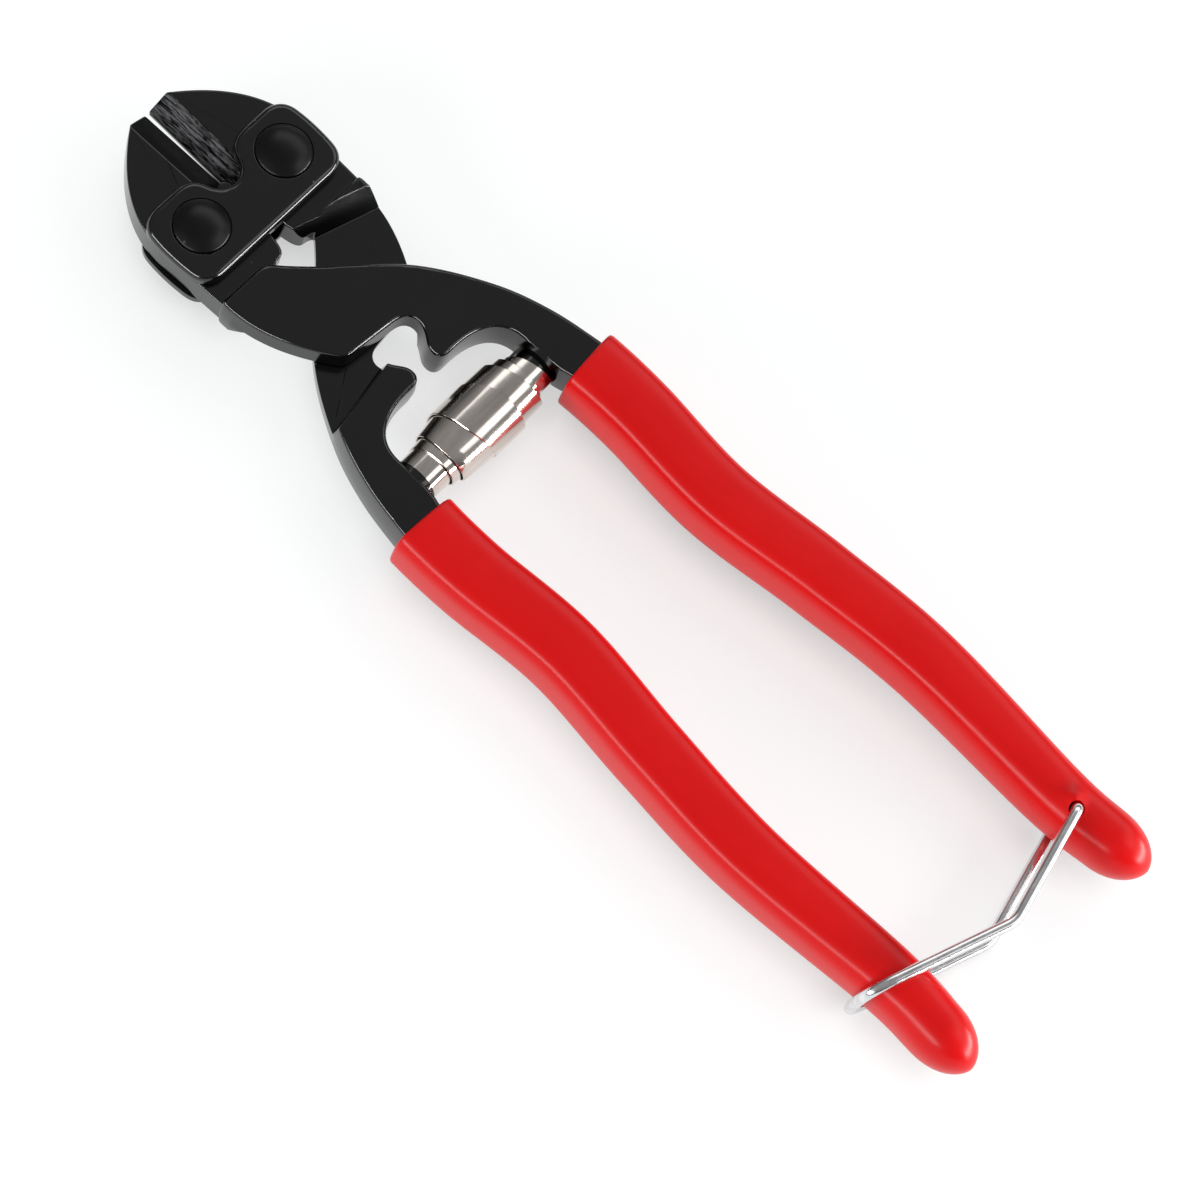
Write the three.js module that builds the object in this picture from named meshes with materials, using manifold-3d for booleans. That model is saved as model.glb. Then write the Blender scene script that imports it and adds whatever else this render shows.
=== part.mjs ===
// Mini bolt cutters: two crossing one-piece forged levers on rivets between two side plates,
// a double volute spring, two dipped grips and a wire latch. Millimetres, +Z up, front face up.
// +X runs from the pivots to the handle ends, and y = 0 is the line along which the blades meet.
// The origin is midway between the two rivets, on the outer face of the rear plate.
import * as THREE from "three";
import { mergeVertices } from "three/addons/utils/BufferGeometryUtils.js";
import { ParametricGeometry } from "three/addons/geometries/ParametricGeometry.js";
import Module from "manifold-3d";

const wasm = await Module();
wasm.setup();

// ---- Driving dimensions -------------------------------------------------------------------

// Head
const PIVOT_OFFSET = 9.9;         // each pivot from the parting line
const BOSS_RADIUS = 7.1;          // pivot to the outer edge of the jaw
const JAW_THICKNESS = 6;
const JAW_RIM = 0.4;              // chamfer round the jaw
const JAW_REACH = 21.3;           // pivot line to the blade tips
const JAW_BELLY = 8.3;            // length of the outer edge's curve at the tip
const TIP_WIDTH = 3.9;            // each blade across its tip
const BLADE_OPENING = 1.15;       // degrees each lever stands open when latched
const HEEL_X = 4.6;               // pivot line to the inner end of the cutting edge
const BLADE_BEVEL = 4.3;          // width of the ground slope
const EDGE_LAND = 0.9;            // thickness left at the cutting edge
const PLATE_THICKNESS = 2.5;
const PLATE_LEFT = 7.7;           // pivot line to the plate's jaw-side edge
const PLATE_RIGHT = 8.3;
const PLATE_OVERHANG = 0.6;       // plate past the jaw's outer edge
const PLATE_CORNER = 4.2;
const PLATE_CROWN = 0.4;          // bow of the plate's ends
const PLATE_RIM = 0.5;            // chamfer round the plate
const NOTCH_HALF = 6;             // half width of the plate's notch at its mouth
const NOTCH_DEPTH = 5.8;
const SIDE_CLEARANCE = 0.15;      // between a jaw's side and a plate
const RIVET_RADIUS = 3.2;
const RIVET_CLEARANCE = 0.1;      // rivet shank in its holes, on the radius
const SPOT_DEPTH = 0.3;           // round recess in the plate that the rivet's head sits in
const SPOT_CLEARANCE = 0.2;       // head to the recess's wall
const HEAD_GAP = 0.02;            // head to the recess's floor
const HEAD_OVERHANG = 1.6;        // rivet head past its shank
const HEAD_RIM = 0.6;             // upright edge of the rivet's head
const DOME_RISE = 1.9;
const DOME_CROWN = 2.3;           // radius of the flattened crown
const TOOTH_RADIUS = 1;
const TOOTH_PITCH = 3.2;          // along the pitch circles
const TOOTH_CLEARANCE = 0.3;
const OPEN_TRAVEL = 9;            // degrees each lever opens from rest

// Forged crossing: lengths along x, one after the other from the plate's edge to the grip
const FACE_GAP = 2.7;             // plate to the forging's raised face
const LAND = 1.4;                 // raised face left beside the lap
const CROTCH_RUN = 6.7;           // raised face to where the outer edge crosses the parting line
const WEB_RUN = 15.7;             // from there to the end of the crossing web
const STEP_INSET = 3.9;           // web's end to where the lap ends
const NUB_RUN = 4.3;              // lap's end to the middle of the nub
const SPRING_RUN = 12.8;          // nub to the spring
const GRIP_RUN = 6.1;             // spring to the grip

// Forged crossing: other sizes
const FORGING_THICKNESS = 8.5;
const FORGING_EDGE = 0.8;         // chamfer round the forging
const LAP_GAP = 0.3;              // between the crossing half-laps
const RAMP_RUN = 2.4;             // slope of the land's wall
const RAMP_TILT = 10.5;           // degrees
const STEP_RUN = 0.8;             // slope of the wall at the lap's end
const STEP_TILT = 9;              // degrees
const WAIST_LOW = 8.8;            // the web's end, past the parting line
const NUB_HALF = 2.2;
const NUB_GAP = 2;                // nub to the parting line
const HANDLE_INNER = 15.4;        // handle's inner wall at the spring, from the parting line
const HANDLE_DEPTH = 7.6;         // inner wall to outer wall, beside the spring

// Grips
const GRIP_LENGTH = 125.9;
const GRIP_MIDDLE = 20.5;         // grip's middle line at its start, from the parting line
const GRIP_WAIST = 1.2;           // dip of the line towards the other handle
const GRIP_BULGE = 2.8;           // its swell, from the start's height
const GRIP_NECK = 1.4;            // the line beyond the swell
const GRIP_FLARE = 2;             // the line where the end starts to close
const GRIP_TIP = 0.8;             // the tip's lean outwards from there
const GRIP_WIDTH_START = 12.8;
const GRIP_WIDTH_END = 10.2;
const GRIP_COVER = 2.25;          // vinyl over the tang's flat faces, with the clearance
const GRIP_WALL = 2;              // vinyl over the tang's edges, with the clearance
const GRIP_SQUARENESS = 3;        // 2 is an ellipse, more is squarer
const GRIP_LIP = 1.6;             // length over which the mouth rounds off
const GRIP_CLOSE = 8.5;           // length over which the end rounds off
const GRIP_CLEARANCE = 0.25;      // cavity to tang
const TANG_SHORT = 2.5;           // solid vinyl past the tang's end, besides the wall

// Spring
const SPRING_STRIP = 0.65;
const SPRING_END_RADIUS = 3.8;    // middle of the strip
const SPRING_PITCH = 0.82;        // growth of radius in each turn
const SPRING_TURNS = 2.5;         // in each half
const SPRING_PHASE = 100;         // degrees from +x towards +z, where the middle of the strip is
const SPRING_MID_WIDTH = 9;
const SPRING_END_WIDTH = 3;
const SEAT_RIM = 0.1;             // pad past the spring's end turn
const SEAT_HEIGHT = 1.2;          // raised pad that the spring's end stands on
const STUD_CLEARANCE = 0.35;      // stud inside the spring's end turn
const STUD_LENGTH = 2.4;
const STUD_TAPER = 0.4;
const SEAT_CLEARANCE = 0.3;       // spring end to its pad

// Latch
const LATCH_SETBACK = 15.9;       // grip's end to the wire's hole
const LATCH_INSET = 1.7;          // hole from the grip's middle, towards the other handle
const WIRE_RADIUS = 1;
const WIRE_GAP = 0.5;             // wire to the grip's flat faces
const HOLE_CLEARANCE = 0.35;
const SWING_CLEARANCE = 0.35;     // hooked end to the other grip as the latch swings off
const LATCH_SWEPT = 6;            // degrees that the latch leans back when hooked
const KNEE_X = 5.6;               // bend in the legs, from the hole
const KNEE_DROP = 21.3;
const KNEE_RADIUS = 4;
const HOOK_RADIUS = 5;
const WIRE_BEND = 1.5;            // where the wire leaves its hole
const WIRE_END = 0.6;             // the wire's two ends from the middle of the hole

// ---- Worked-out values --------------------------------------------------------------------

const RAD = Math.PI / 180;
const JAW_EDGE = PIVOT_OFFSET + BOSS_RADIUS;
const PLATE_Z = JAW_THICKNESS / 2 + SIDE_CLEARANCE;
const PLATE_HALF_HEIGHT = JAW_EDGE + PLATE_OVERHANG;
const MID_Z = PLATE_THICKNESS + PLATE_Z;
const HOLE_RADIUS = RIVET_RADIUS + RIVET_CLEARANCE;
const HEAD_RADIUS = RIVET_RADIUS + HEAD_OVERHANG;
const SPOT_RADIUS = HEAD_RADIUS + SPOT_CLEARANCE;
const TOOTH_ANGLE = TOOTH_PITCH / PIVOT_OFFSET;

const FACE_START = PLATE_RIGHT + FACE_GAP;
const RAMP_START = FACE_START + LAND;
const CROTCH_X = FACE_START + CROTCH_RUN;
const WAIST_X = CROTCH_X + WEB_RUN;
const STEP_START = WAIST_X + STEP_INSET;
const NUB_X = STEP_START + NUB_RUN;
const SPRING_X = NUB_X + SPRING_RUN;
const GRIP_START = SPRING_X + GRIP_RUN;
const GRIP_END = GRIP_START + GRIP_LENGTH;
const LATCH_X = GRIP_END - LATCH_SETBACK;
const LAP_REACH = STEP_START + RAMP_START;

const GRIP_THICKNESS = FORGING_THICKNESS + 2 * GRIP_COVER;
const TANG_END = GRIP_END - GRIP_WALL - TANG_SHORT;
const WIRE_HOLE = WIRE_RADIUS + HOLE_CLEARANCE;
const SEAT_Y = HANDLE_INNER - SEAT_HEIGHT;
const SEAT_RADIUS = SPRING_END_RADIUS + SPRING_STRIP / 2 + SEAT_RIM;
const STUD_RADIUS = SPRING_END_RADIUS - SPRING_STRIP / 2 - STUD_CLEARANCE;

// ---- Colours ------------------------------------------------------------------------------

const enamel = new THREE.MeshStandardMaterial({ color: 0x17181a, roughness: 0.28, metalness: 0.1 });
const vinyl = new THREE.MeshStandardMaterial({ color: 0xd3141b, roughness: 0.3, metalness: 0 });
const nickel = new THREE.MeshStandardMaterial({ color: 0xd9d4cc, roughness: 0.15, metalness: 1 });
const wireSteel = new THREE.MeshStandardMaterial({ color: 0xdfe1e2, roughness: 0.2, metalness: 1 });

// ---- Helpers ------------------------------------------------------------------------------

function solid(geometry) {
  const bare = geometry.clone();
  bare.deleteAttribute("normal");
  bare.deleteAttribute("uv");
  const merged = mergeVertices(bare, 1e-4);
  return new wasm.Manifold(new wasm.Mesh({
    numProp: 3,
    vertProperties: merged.attributes.position.array,
    triVerts: Uint32Array.from(merged.index.array),
  }));
}

function geometryOf(manifold) {
  const mesh = manifold.getMesh();
  const geometry = new THREE.BufferGeometry();
  geometry.setAttribute("position", new THREE.BufferAttribute(Float32Array.from(mesh.vertProperties), 3));
  geometry.setIndex(new THREE.BufferAttribute(Uint32Array.from(mesh.triVerts), 1));
  geometry.computeVertexNormals();
  return geometry;
}

// A slab of an outline between two heights, its rims chamfered by `edge`.
function slab(shape, low, high, edge = 0, curveSegments = 12) {
  const geometry = new THREE.ExtrudeGeometry(shape, {
    depth: high - low - 2 * edge,
    bevelEnabled: edge > 0,
    bevelThickness: edge,
    bevelSize: edge,
    bevelOffset: -edge,
    bevelSegments: 1,
    curveSegments,
  });
  geometry.translate(0, 0, low + edge);
  return solid(geometry);
}

function post(x, y, radius, low, high, sides = 32) {
  const geometry = new THREE.CylinderGeometry(radius, radius, high - low, sides);
  geometry.rotateX(Math.PI / 2);
  geometry.translate(x, y, (low + high) / 2);
  return solid(geometry);
}

// All below z = top on one side (1 right, -1 left) of a wall through (x, y), turned by `tilt`.
// The wall leans, so that the block is wider by `run` at its foot than at its top.
function lapBlock(x, y, tilt, run, top, side) {
  const profile = new THREE.Shape([
    new THREE.Vector2(0, -FORGING_THICKNESS),
    new THREE.Vector2(side * LAP_REACH, -FORGING_THICKNESS),
    new THREE.Vector2(side * LAP_REACH, 0),
    new THREE.Vector2(side * run, 0),
    new THREE.Vector2(0, -FORGING_THICKNESS / 2 - top),
  ]);
  const geometry = new THREE.ExtrudeGeometry(profile, { depth: 2 * LAP_REACH, bevelEnabled: false });
  geometry.rotateX(Math.PI / 2);
  geometry.translate(0, LAP_REACH, 0);
  geometry.rotateZ(tilt * RAD);
  geometry.translate(x, y, top);
  return solid(geometry);
}

function mesh(name, geometry, material) {
  const result = new THREE.Mesh(geometry, material);
  result.name = name;
  return result;
}

// ---- The handle's long line, shared by tang, grip and latch -------------------------------

const handleLine = new THREE.SplineCurve([
  new THREE.Vector2(GRIP_START - 8, GRIP_MIDDLE - 1.1),
  new THREE.Vector2(GRIP_START, GRIP_MIDDLE),
  new THREE.Vector2(GRIP_START + 12, GRIP_MIDDLE + 0.1),
  new THREE.Vector2(GRIP_START + 0.25 * GRIP_LENGTH, GRIP_MIDDLE - GRIP_WAIST),
  new THREE.Vector2(GRIP_START + 0.42 * GRIP_LENGTH, GRIP_MIDDLE + 0.4 * GRIP_BULGE),
  new THREE.Vector2(GRIP_START + 0.6 * GRIP_LENGTH, GRIP_MIDDLE + GRIP_BULGE),
  new THREE.Vector2(GRIP_START + 0.84 * GRIP_LENGTH, GRIP_MIDDLE + GRIP_NECK),
  new THREE.Vector2(GRIP_END - GRIP_CLOSE, GRIP_MIDDLE + GRIP_FLARE),
  new THREE.Vector2(GRIP_END, GRIP_MIDDLE + GRIP_FLARE + GRIP_TIP),
]);

// Middle of the handle at a given x, and the way across it.
function handleAt(x) {
  let low = 0;
  let high = 1;
  for (let i = 0; i < 40; i += 1) {
    const middle = (low + high) / 2;
    if (handleLine.getPoint(middle).x < x) low = middle;
    else high = middle;
  }
  const tangent = handleLine.getTangent(low);
  return { point: handleLine.getPoint(low), across: new THREE.Vector2(-tangent.y, tangent.x) };
}

// Half width of the grip without its rounded end, and with it.
function gripHalfWidthOpen(x) {
  const share = (x - GRIP_START) / (GRIP_END - GRIP_START);
  return THREE.MathUtils.lerp(GRIP_WIDTH_START, GRIP_WIDTH_END, share) / 2;
}

function gripHalfWidth(x) {
  const past = Math.max(0, (x - (GRIP_END - GRIP_CLOSE)) / GRIP_CLOSE);
  return gripHalfWidthOpen(x) * Math.pow(Math.max(0, 1 - Math.pow(past, 2.2)), 1 / 1.7);
}

function handlePoint(x, side, inset) {
  const { point, across } = handleAt(x);
  return point.clone().addScaledVector(across, side * (gripHalfWidth(x) - inset));
}

const LATCH_Y = handleAt(LATCH_X).point.y - LATCH_INSET;

// The tang's two sides and round end, from `from` along to the end, `grow` larger all round.
function tangOutline(from, grow) {
  const sides = 26;
  const outer = [];
  const inner = [];
  for (let i = 0; i <= sides; i += 1) {
    const share = i / sides;
    const x = THREE.MathUtils.lerp(from, TANG_END + grow, 1 - Math.pow(1 - share, 1.6));
    outer.push(handlePoint(x, 1, GRIP_WALL - grow));
    inner.unshift(handlePoint(x, -1, GRIP_WALL - grow));
  }
  return [...outer, ...inner];
}

// ---- Lever: one forging, drawn as lever A (jaw at -y, handle at +y, front layer) ----------

// The handle, the crossing web and the land beside the hub, as seen from the front.
function forgingShape() {
  const shape = new THREE.Shape();
  const tang = tangOutline(GRIP_START, 0).reverse();
  const nubLeft = NUB_X - NUB_HALF;
  const nubRight = NUB_X + NUB_HALF;
  shape.moveTo(FACE_START, -JAW_EDGE);
  shape.lineTo(RAMP_START, -JAW_EDGE);
  shape.quadraticCurveTo(CROTCH_X + 4.3, -JAW_EDGE, WAIST_X - 0.8, -WAIST_LOW);
  shape.lineTo(WAIST_X + 0.3, NUB_GAP + 0.6);
  shape.bezierCurveTo(WAIST_X + 1, NUB_GAP + 3.4, nubLeft - 2.2, NUB_GAP + 3, nubLeft, NUB_GAP + 0.8);
  shape.quadraticCurveTo(nubLeft + 0.8, NUB_GAP, NUB_X, NUB_GAP);
  shape.quadraticCurveTo(nubRight, NUB_GAP, nubRight, NUB_GAP + 2.2);
  shape.bezierCurveTo(
    nubRight - 0.4, NUB_GAP + 7,
    nubRight + 0.8, HANDLE_INNER - 0.2,
    SPRING_X - SEAT_RADIUS, HANDLE_INNER - 0.2,
  );
  shape.lineTo(SPRING_X + SEAT_RADIUS, HANDLE_INNER);
  for (const point of tang) shape.lineTo(point.x, point.y);
  shape.splineThru([
    new THREE.Vector2(SPRING_X - SEAT_RADIUS, HANDLE_INNER + HANDLE_DEPTH),
    new THREE.Vector2(NUB_X - 1.6, HANDLE_INNER + HANDLE_DEPTH / 2),
    new THREE.Vector2(WAIST_X - 5.2, HANDLE_INNER - HANDLE_DEPTH / 2),
    new THREE.Vector2(CROTCH_X, 0),
    new THREE.Vector2(FACE_START + 1.8, -PIVOT_OFFSET / 2),
  ]);
  shape.quadraticCurveTo(FACE_START, -PIVOT_OFFSET / 2 - 1, FACE_START, -PIVOT_OFFSET / 2 - 3);
  shape.closePath();
  return shape;
}

// The jaw and its hub, drawn with the blades closed on y = 0.
function jawShape() {
  const shape = new THREE.Shape();
  const hubRadius = PIVOT_OFFSET - TOOTH_CLEARANCE / 2;
  const heelAngle = Math.acos(-HEEL_X / hubRadius);
  const hubEnd = 32 * RAD;
  shape.moveTo(-JAW_REACH, 0);
  shape.lineTo(-HEEL_X, 0);
  shape.absarc(0, -PIVOT_OFFSET, hubRadius, heelAngle, hubEnd, true);
  shape.lineTo(FACE_START + 2, -PIVOT_OFFSET / 2 - 0.6);
  shape.lineTo(FACE_START + 2, -JAW_EDGE + 0.2);
  shape.lineTo(-2, -JAW_EDGE);
  shape.quadraticCurveTo(-JAW_REACH + JAW_BELLY, -JAW_EDGE + 0.5, -JAW_REACH, -TIP_WIDTH);
  shape.closePath();
  return shape;
}

// The air above a blade's ground slope, on one face (side = 1 front, -1 rear).
function bevelCutter(side) {
  const past = 2;
  const land = EDGE_LAND / 2;
  const slope = (JAW_THICKNESS / 2 - land) / BLADE_BEVEL;
  const profile = new THREE.Shape([
    new THREE.Vector2(-BLADE_BEVEL - past, side * (JAW_THICKNESS / 2 + past * slope)),
    new THREE.Vector2(past, side * (land - past * slope)),
    new THREE.Vector2(past, side * JAW_THICKNESS),
    new THREE.Vector2(-BLADE_BEVEL - past, side * JAW_THICKNESS),
  ]);
  const length = JAW_REACH + past - HEEL_X - JAW_RIM;
  const geometry = new THREE.ExtrudeGeometry(profile, { depth: length, bevelEnabled: false });
  geometry.applyMatrix4(new THREE.Matrix4().set(
    0, 0, 1, -JAW_REACH - past,
    1, 0, 0, 0,
    0, 1, 0, 0,
    0, 0, 0, 1,
  ));
  return solid(geometry);
}

// A tooth's middle on the pitch circle, `angle` from the line between the pivots.
function toothCentre(angle) {
  return new THREE.Vector2(
    PIVOT_OFFSET * Math.sin(angle),
    PIVOT_OFFSET * (Math.cos(angle) - 1),
  );
}

// Where the other lever's tooth stands in this lever's own frame when both are open by `turn`.
function partnerTooth(angle, turn) {
  const pivot = new THREE.Vector2(0, -PIVOT_OFFSET);
  const otherPivot = new THREE.Vector2(0, PIVOT_OFFSET);
  const centre = toothCentre(angle);
  centre.y = -centre.y;
  return centre.rotateAround(otherPivot, -turn).rotateAround(pivot, -turn);
}

function lever(teeth, partnerTeeth) {
  const half = FORGING_THICKNESS / 2;
  const jawHalf = JAW_THICKNESS / 2;
  const jaw = slab(jawShape(), -jawHalf, jawHalf, JAW_RIM)
    .subtract(bevelCutter(1))
    .subtract(bevelCutter(-1))
    .translate(0, PIVOT_OFFSET, 0)
    .rotate(0, 0, BLADE_OPENING)
    .translate(0, -PIVOT_OFFSET, 0);
  const ramp = lapBlock(RAMP_START, -PIVOT_OFFSET, RAMP_TILT, RAMP_RUN, LAP_GAP / 2, 1);
  const step = lapBlock(STEP_START, NUB_GAP, -STEP_TILT, STEP_RUN, LAP_GAP / 2, -1);
  let body = slab(forgingShape(), -half, half, FORGING_EDGE, 5)
    .add(jaw)
    .subtract(ramp.intersect(step));
  const root = 1;
  const pad = new THREE.CylinderGeometry(SEAT_RADIUS, SEAT_RADIUS, SEAT_HEIGHT + root, 32);
  pad.translate(SPRING_X, SEAT_Y + (SEAT_HEIGHT + root) / 2, 0);
  const stud = new THREE.CylinderGeometry(STUD_RADIUS, STUD_RADIUS - STUD_TAPER, STUD_LENGTH + root, 32);
  stud.translate(SPRING_X, SEAT_Y + (root - STUD_LENGTH) / 2, 0);
  body = body.add(solid(pad)).add(solid(stud));
  for (const angle of teeth) {
    const centre = toothCentre(angle);
    body = body.add(post(centre.x, centre.y, TOOTH_RADIUS, JAW_RIM - jawHalf, jawHalf - JAW_RIM, 20));
  }
  const stops = 8;
  for (const angle of partnerTeeth) {
    for (let i = 0; i <= stops; i += 1) {
      const turn = THREE.MathUtils.lerp(-BLADE_OPENING, OPEN_TRAVEL, i / stops) * RAD;
      const centre = partnerTooth(angle, turn);
      body = body.subtract(post(centre.x, centre.y, TOOTH_RADIUS + TOOTH_CLEARANCE, -half, half, 20));
    }
  }
  return body.subtract(post(0, -PIVOT_OFFSET, HOLE_RADIUS, -half, half));
}

// ---- Head ---------------------------------------------------------------------------------

function plateShape() {
  const shape = new THREE.Shape();
  const top = PLATE_HALF_HEIGHT - PLATE_CROWN / 2;
  const low = top - PLATE_CROWN / 2;
  const side = PLATE_HALF_HEIGHT - PLATE_CORNER;
  shape.moveTo(-PLATE_LEFT, NOTCH_HALF);
  shape.bezierCurveTo(
    -PLATE_LEFT + NOTCH_DEPTH, NOTCH_HALF - 2.2,
    -PLATE_LEFT + NOTCH_DEPTH, NOTCH_HALF / 2 - 1.2,
    -PLATE_LEFT + NOTCH_DEPTH, 0,
  );
  shape.bezierCurveTo(
    -PLATE_LEFT + NOTCH_DEPTH, -NOTCH_HALF / 2 + 1.2,
    -PLATE_LEFT + NOTCH_DEPTH, -NOTCH_HALF + 2.2,
    -PLATE_LEFT, -NOTCH_HALF,
  );
  shape.lineTo(-PLATE_LEFT, -side);
  shape.quadraticCurveTo(-PLATE_LEFT + 0.6, -low, -PLATE_LEFT + PLATE_CORNER, -top);
  shape.quadraticCurveTo(0, -top - PLATE_CROWN, PLATE_RIGHT - PLATE_CORNER, -top);
  shape.quadraticCurveTo(PLATE_RIGHT - 0.6, -low, PLATE_RIGHT, -side);
  shape.lineTo(PLATE_RIGHT, side);
  shape.quadraticCurveTo(PLATE_RIGHT - 0.6, low, PLATE_RIGHT - PLATE_CORNER, top);
  shape.quadraticCurveTo(0, top + PLATE_CROWN, -PLATE_LEFT + PLATE_CORNER, top);
  shape.quadraticCurveTo(-PLATE_LEFT + 0.6, low, -PLATE_LEFT, side);
  shape.closePath();
  return shape;
}

function plate(side) {
  const low = side > 0 ? PLATE_Z : -PLATE_Z - PLATE_THICKNESS;
  const high = low + PLATE_THICKNESS;
  const floor = side * (PLATE_Z + PLATE_THICKNESS - SPOT_DEPTH);
  const past = side * (PLATE_Z + PLATE_THICKNESS + 1);
  let body = slab(plateShape(), low, high, PLATE_RIM, 6);
  for (const y of [-PIVOT_OFFSET, PIVOT_OFFSET]) {
    body = body.subtract(post(0, y, HOLE_RADIUS, low - 1, high + 1));
    body = body.subtract(post(0, y, SPOT_RADIUS, Math.min(floor, past), Math.max(floor, past)));
  }
  return body;
}

function rivetGeometry() {
  const under = PLATE_Z + PLATE_THICKNESS - SPOT_DEPTH + HEAD_GAP;
  const steps = 5;
  const half = [new THREE.Vector2(RIVET_RADIUS, under), new THREE.Vector2(HEAD_RADIUS, under)];
  for (let i = 0; i <= steps; i += 1) {
    const radius = THREE.MathUtils.lerp(HEAD_RADIUS, DOME_CROWN, i / steps);
    const rise = DOME_RISE * Math.sin(i / steps * Math.PI / 2);
    half.push(new THREE.Vector2(radius, under + HEAD_RIM + rise));
  }
  half.push(new THREE.Vector2(0, under + HEAD_RIM + DOME_RISE));
  const mirrored = half.map((p) => new THREE.Vector2(p.x, -p.y)).reverse();
  const geometry = new THREE.LatheGeometry([...mirrored, ...half], 32);
  geometry.rotateX(Math.PI / 2);
  return geometry;
}

// ---- Spring: one strip wound into two nested volutes --------------------------------------

function springGeometry() {
  const half = SEAT_Y - SEAT_CLEARANCE;
  const middle = SPRING_MID_WIDTH / 2;
  const steps = 122;
  const outerEdge = (share) => half - (half - middle) * Math.pow(1 - share, 1.8);
  const innerEdge = (share) => -middle + (half - SPRING_END_WIDTH + middle) * Math.pow(share, 0.62);
  return new ParametricGeometry((u, v, target) => {
    const index = Math.round(v * steps);
    const corner = Math.round(u * 4) % 4;
    const capped = index === 0 || index === steps;
    const turn = SPRING_TURNS * THREE.MathUtils.clamp(2 * (index - 1) / (steps - 2) - 1, -1, 1);
    const share = Math.abs(turn) / SPRING_TURNS;
    const low = turn < 0 ? -outerEdge(share) : innerEdge(share);
    const high = turn < 0 ? -innerEdge(share) : outerEdge(share);
    const along = corner < 2 ? low : high;
    const out = (corner === 1 || corner === 2 ? -0.5 : 0.5) * SPRING_STRIP;
    const radius = SPRING_END_RADIUS + SPRING_PITCH * SPRING_TURNS * (1 - share) + (capped ? 0 : out);
    const angle = SPRING_PHASE * RAD - turn * 2 * Math.PI;
    target.set(
      SPRING_X + radius * Math.cos(angle),
      capped ? (low + high) / 2 : along,
      radius * Math.sin(angle),
    );
  }, 4, steps);
}

// ---- Grips --------------------------------------------------------------------------------

// The grip's outside: a rounded-rectangle section run along the handle's line.
function gripSkin() {
  const around = 24;
  const along = 46;
  const lipAt = [0, 0, 0.3, 1];
  const lipSize = [0, 0.82, 0.95, 1];
  const power = 2 / GRIP_SQUARENESS;
  return new ParametricGeometry((u, v, target) => {
    const index = Math.round(v * along);
    const inLip = index < lipAt.length;
    const eased = 1 - Math.pow(1 - (index - 3) / (along - 3), 1.5);
    const run = inLip ? GRIP_LIP * lipAt[index] : THREE.MathUtils.lerp(GRIP_LIP, GRIP_LENGTH, eased);
    const x = GRIP_START + run;
    const size = inLip ? lipSize[index] : 1;
    const closing = gripHalfWidth(x) / gripHalfWidthOpen(x);
    const cos = Math.cos(u * 2 * Math.PI);
    const sin = Math.sin(u * 2 * Math.PI);
    const { point, across } = handleAt(x);
    const sideways = Math.sign(cos) * Math.pow(Math.abs(cos), power) * gripHalfWidth(x) * size;
    const up = Math.sign(sin) * Math.pow(Math.abs(sin), power) * GRIP_THICKNESS / 2 * closing * size;
    target.set(point.x + across.x * sideways, point.y + across.y * sideways, up);
  }, around, along);
}

function grip(pierced) {
  const half = FORGING_THICKNESS / 2 + GRIP_CLEARANCE;
  const cavity = new THREE.Shape(tangOutline(GRIP_START - 2, GRIP_CLEARANCE));
  let body = solid(gripSkin()).subtract(slab(cavity, -half, half));
  if (pierced) {
    body = body.subtract(post(LATCH_X, LATCH_Y, WIRE_HOLE, -GRIP_THICKNESS, GRIP_THICKNESS, 24));
  }
  return body;
}

// ---- Latch wire ---------------------------------------------------------------------------

// A path through corners, each rounded by its own radius.
function roundedPath(corners, radii) {
  const path = new THREE.CurvePath();
  let from = corners[0];
  for (let i = 1; i < corners.length - 1; i += 1) {
    const corner = corners[i];
    const back = corners[i - 1].clone().sub(corner).normalize();
    const ahead = corners[i + 1].clone().sub(corner).normalize();
    const cut = radii[i - 1] / Math.tan(back.angleTo(ahead) / 2);
    const start = corner.clone().addScaledVector(back, cut);
    const end = corner.clone().addScaledVector(ahead, cut);
    path.add(new THREE.LineCurve3(from, start));
    path.add(new THREE.QuadraticBezierCurve3(start, corner, end));
    from = end;
  }
  path.add(new THREE.LineCurve3(from, corners[corners.length - 1]));
  return path;
}

// Furthest that the latched grip's outer side lies from the latch's hinge, past its middle.
function latchReach() {
  let reach = 0;
  for (let x = LATCH_X - 12; x < GRIP_END; x += 0.5) {
    const point = handlePoint(x, 1, 0);
    reach = Math.max(reach, Math.hypot(point.x - LATCH_X, -point.y - LATCH_Y));
  }
  return reach + SWING_CLEARANCE + WIRE_RADIUS;
}

function latchGeometry() {
  const height = GRIP_THICKNESS / 2 + WIRE_GAP + WIRE_RADIUS;
  const reach = latchReach();
  const at = (x, y, z) => new THREE.Vector3(LATCH_X + x, LATCH_Y + y, z);
  const hookX = -reach * Math.sin(LATCH_SWEPT * RAD);
  const hookY = -reach * Math.cos(LATCH_SWEPT * RAD);
  const path = roundedPath([
    at(0, 0, WIRE_END),
    at(0, 0, height),
    at(KNEE_X, -KNEE_DROP, height),
    at(hookX, hookY, height),
    at(hookX, hookY, -height),
    at(KNEE_X, -KNEE_DROP, -height),
    at(0, 0, -height),
    at(0, 0, -WIRE_END),
  ], [WIRE_BEND, KNEE_RADIUS, HOOK_RADIUS, HOOK_RADIUS, KNEE_RADIUS, WIRE_BEND]);
  const section = new THREE.Shape();
  section.absarc(0, 0, WIRE_RADIUS, 0, 2 * Math.PI);
  return new THREE.ExtrudeGeometry(section, {
    steps: 104,
    extrudePath: path,
    curveSegments: 5,
    bevelEnabled: false,
  });
}

// ---- Assembly -----------------------------------------------------------------------------

const tool = new THREE.Group();
tool.position.z = MID_Z;

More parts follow.
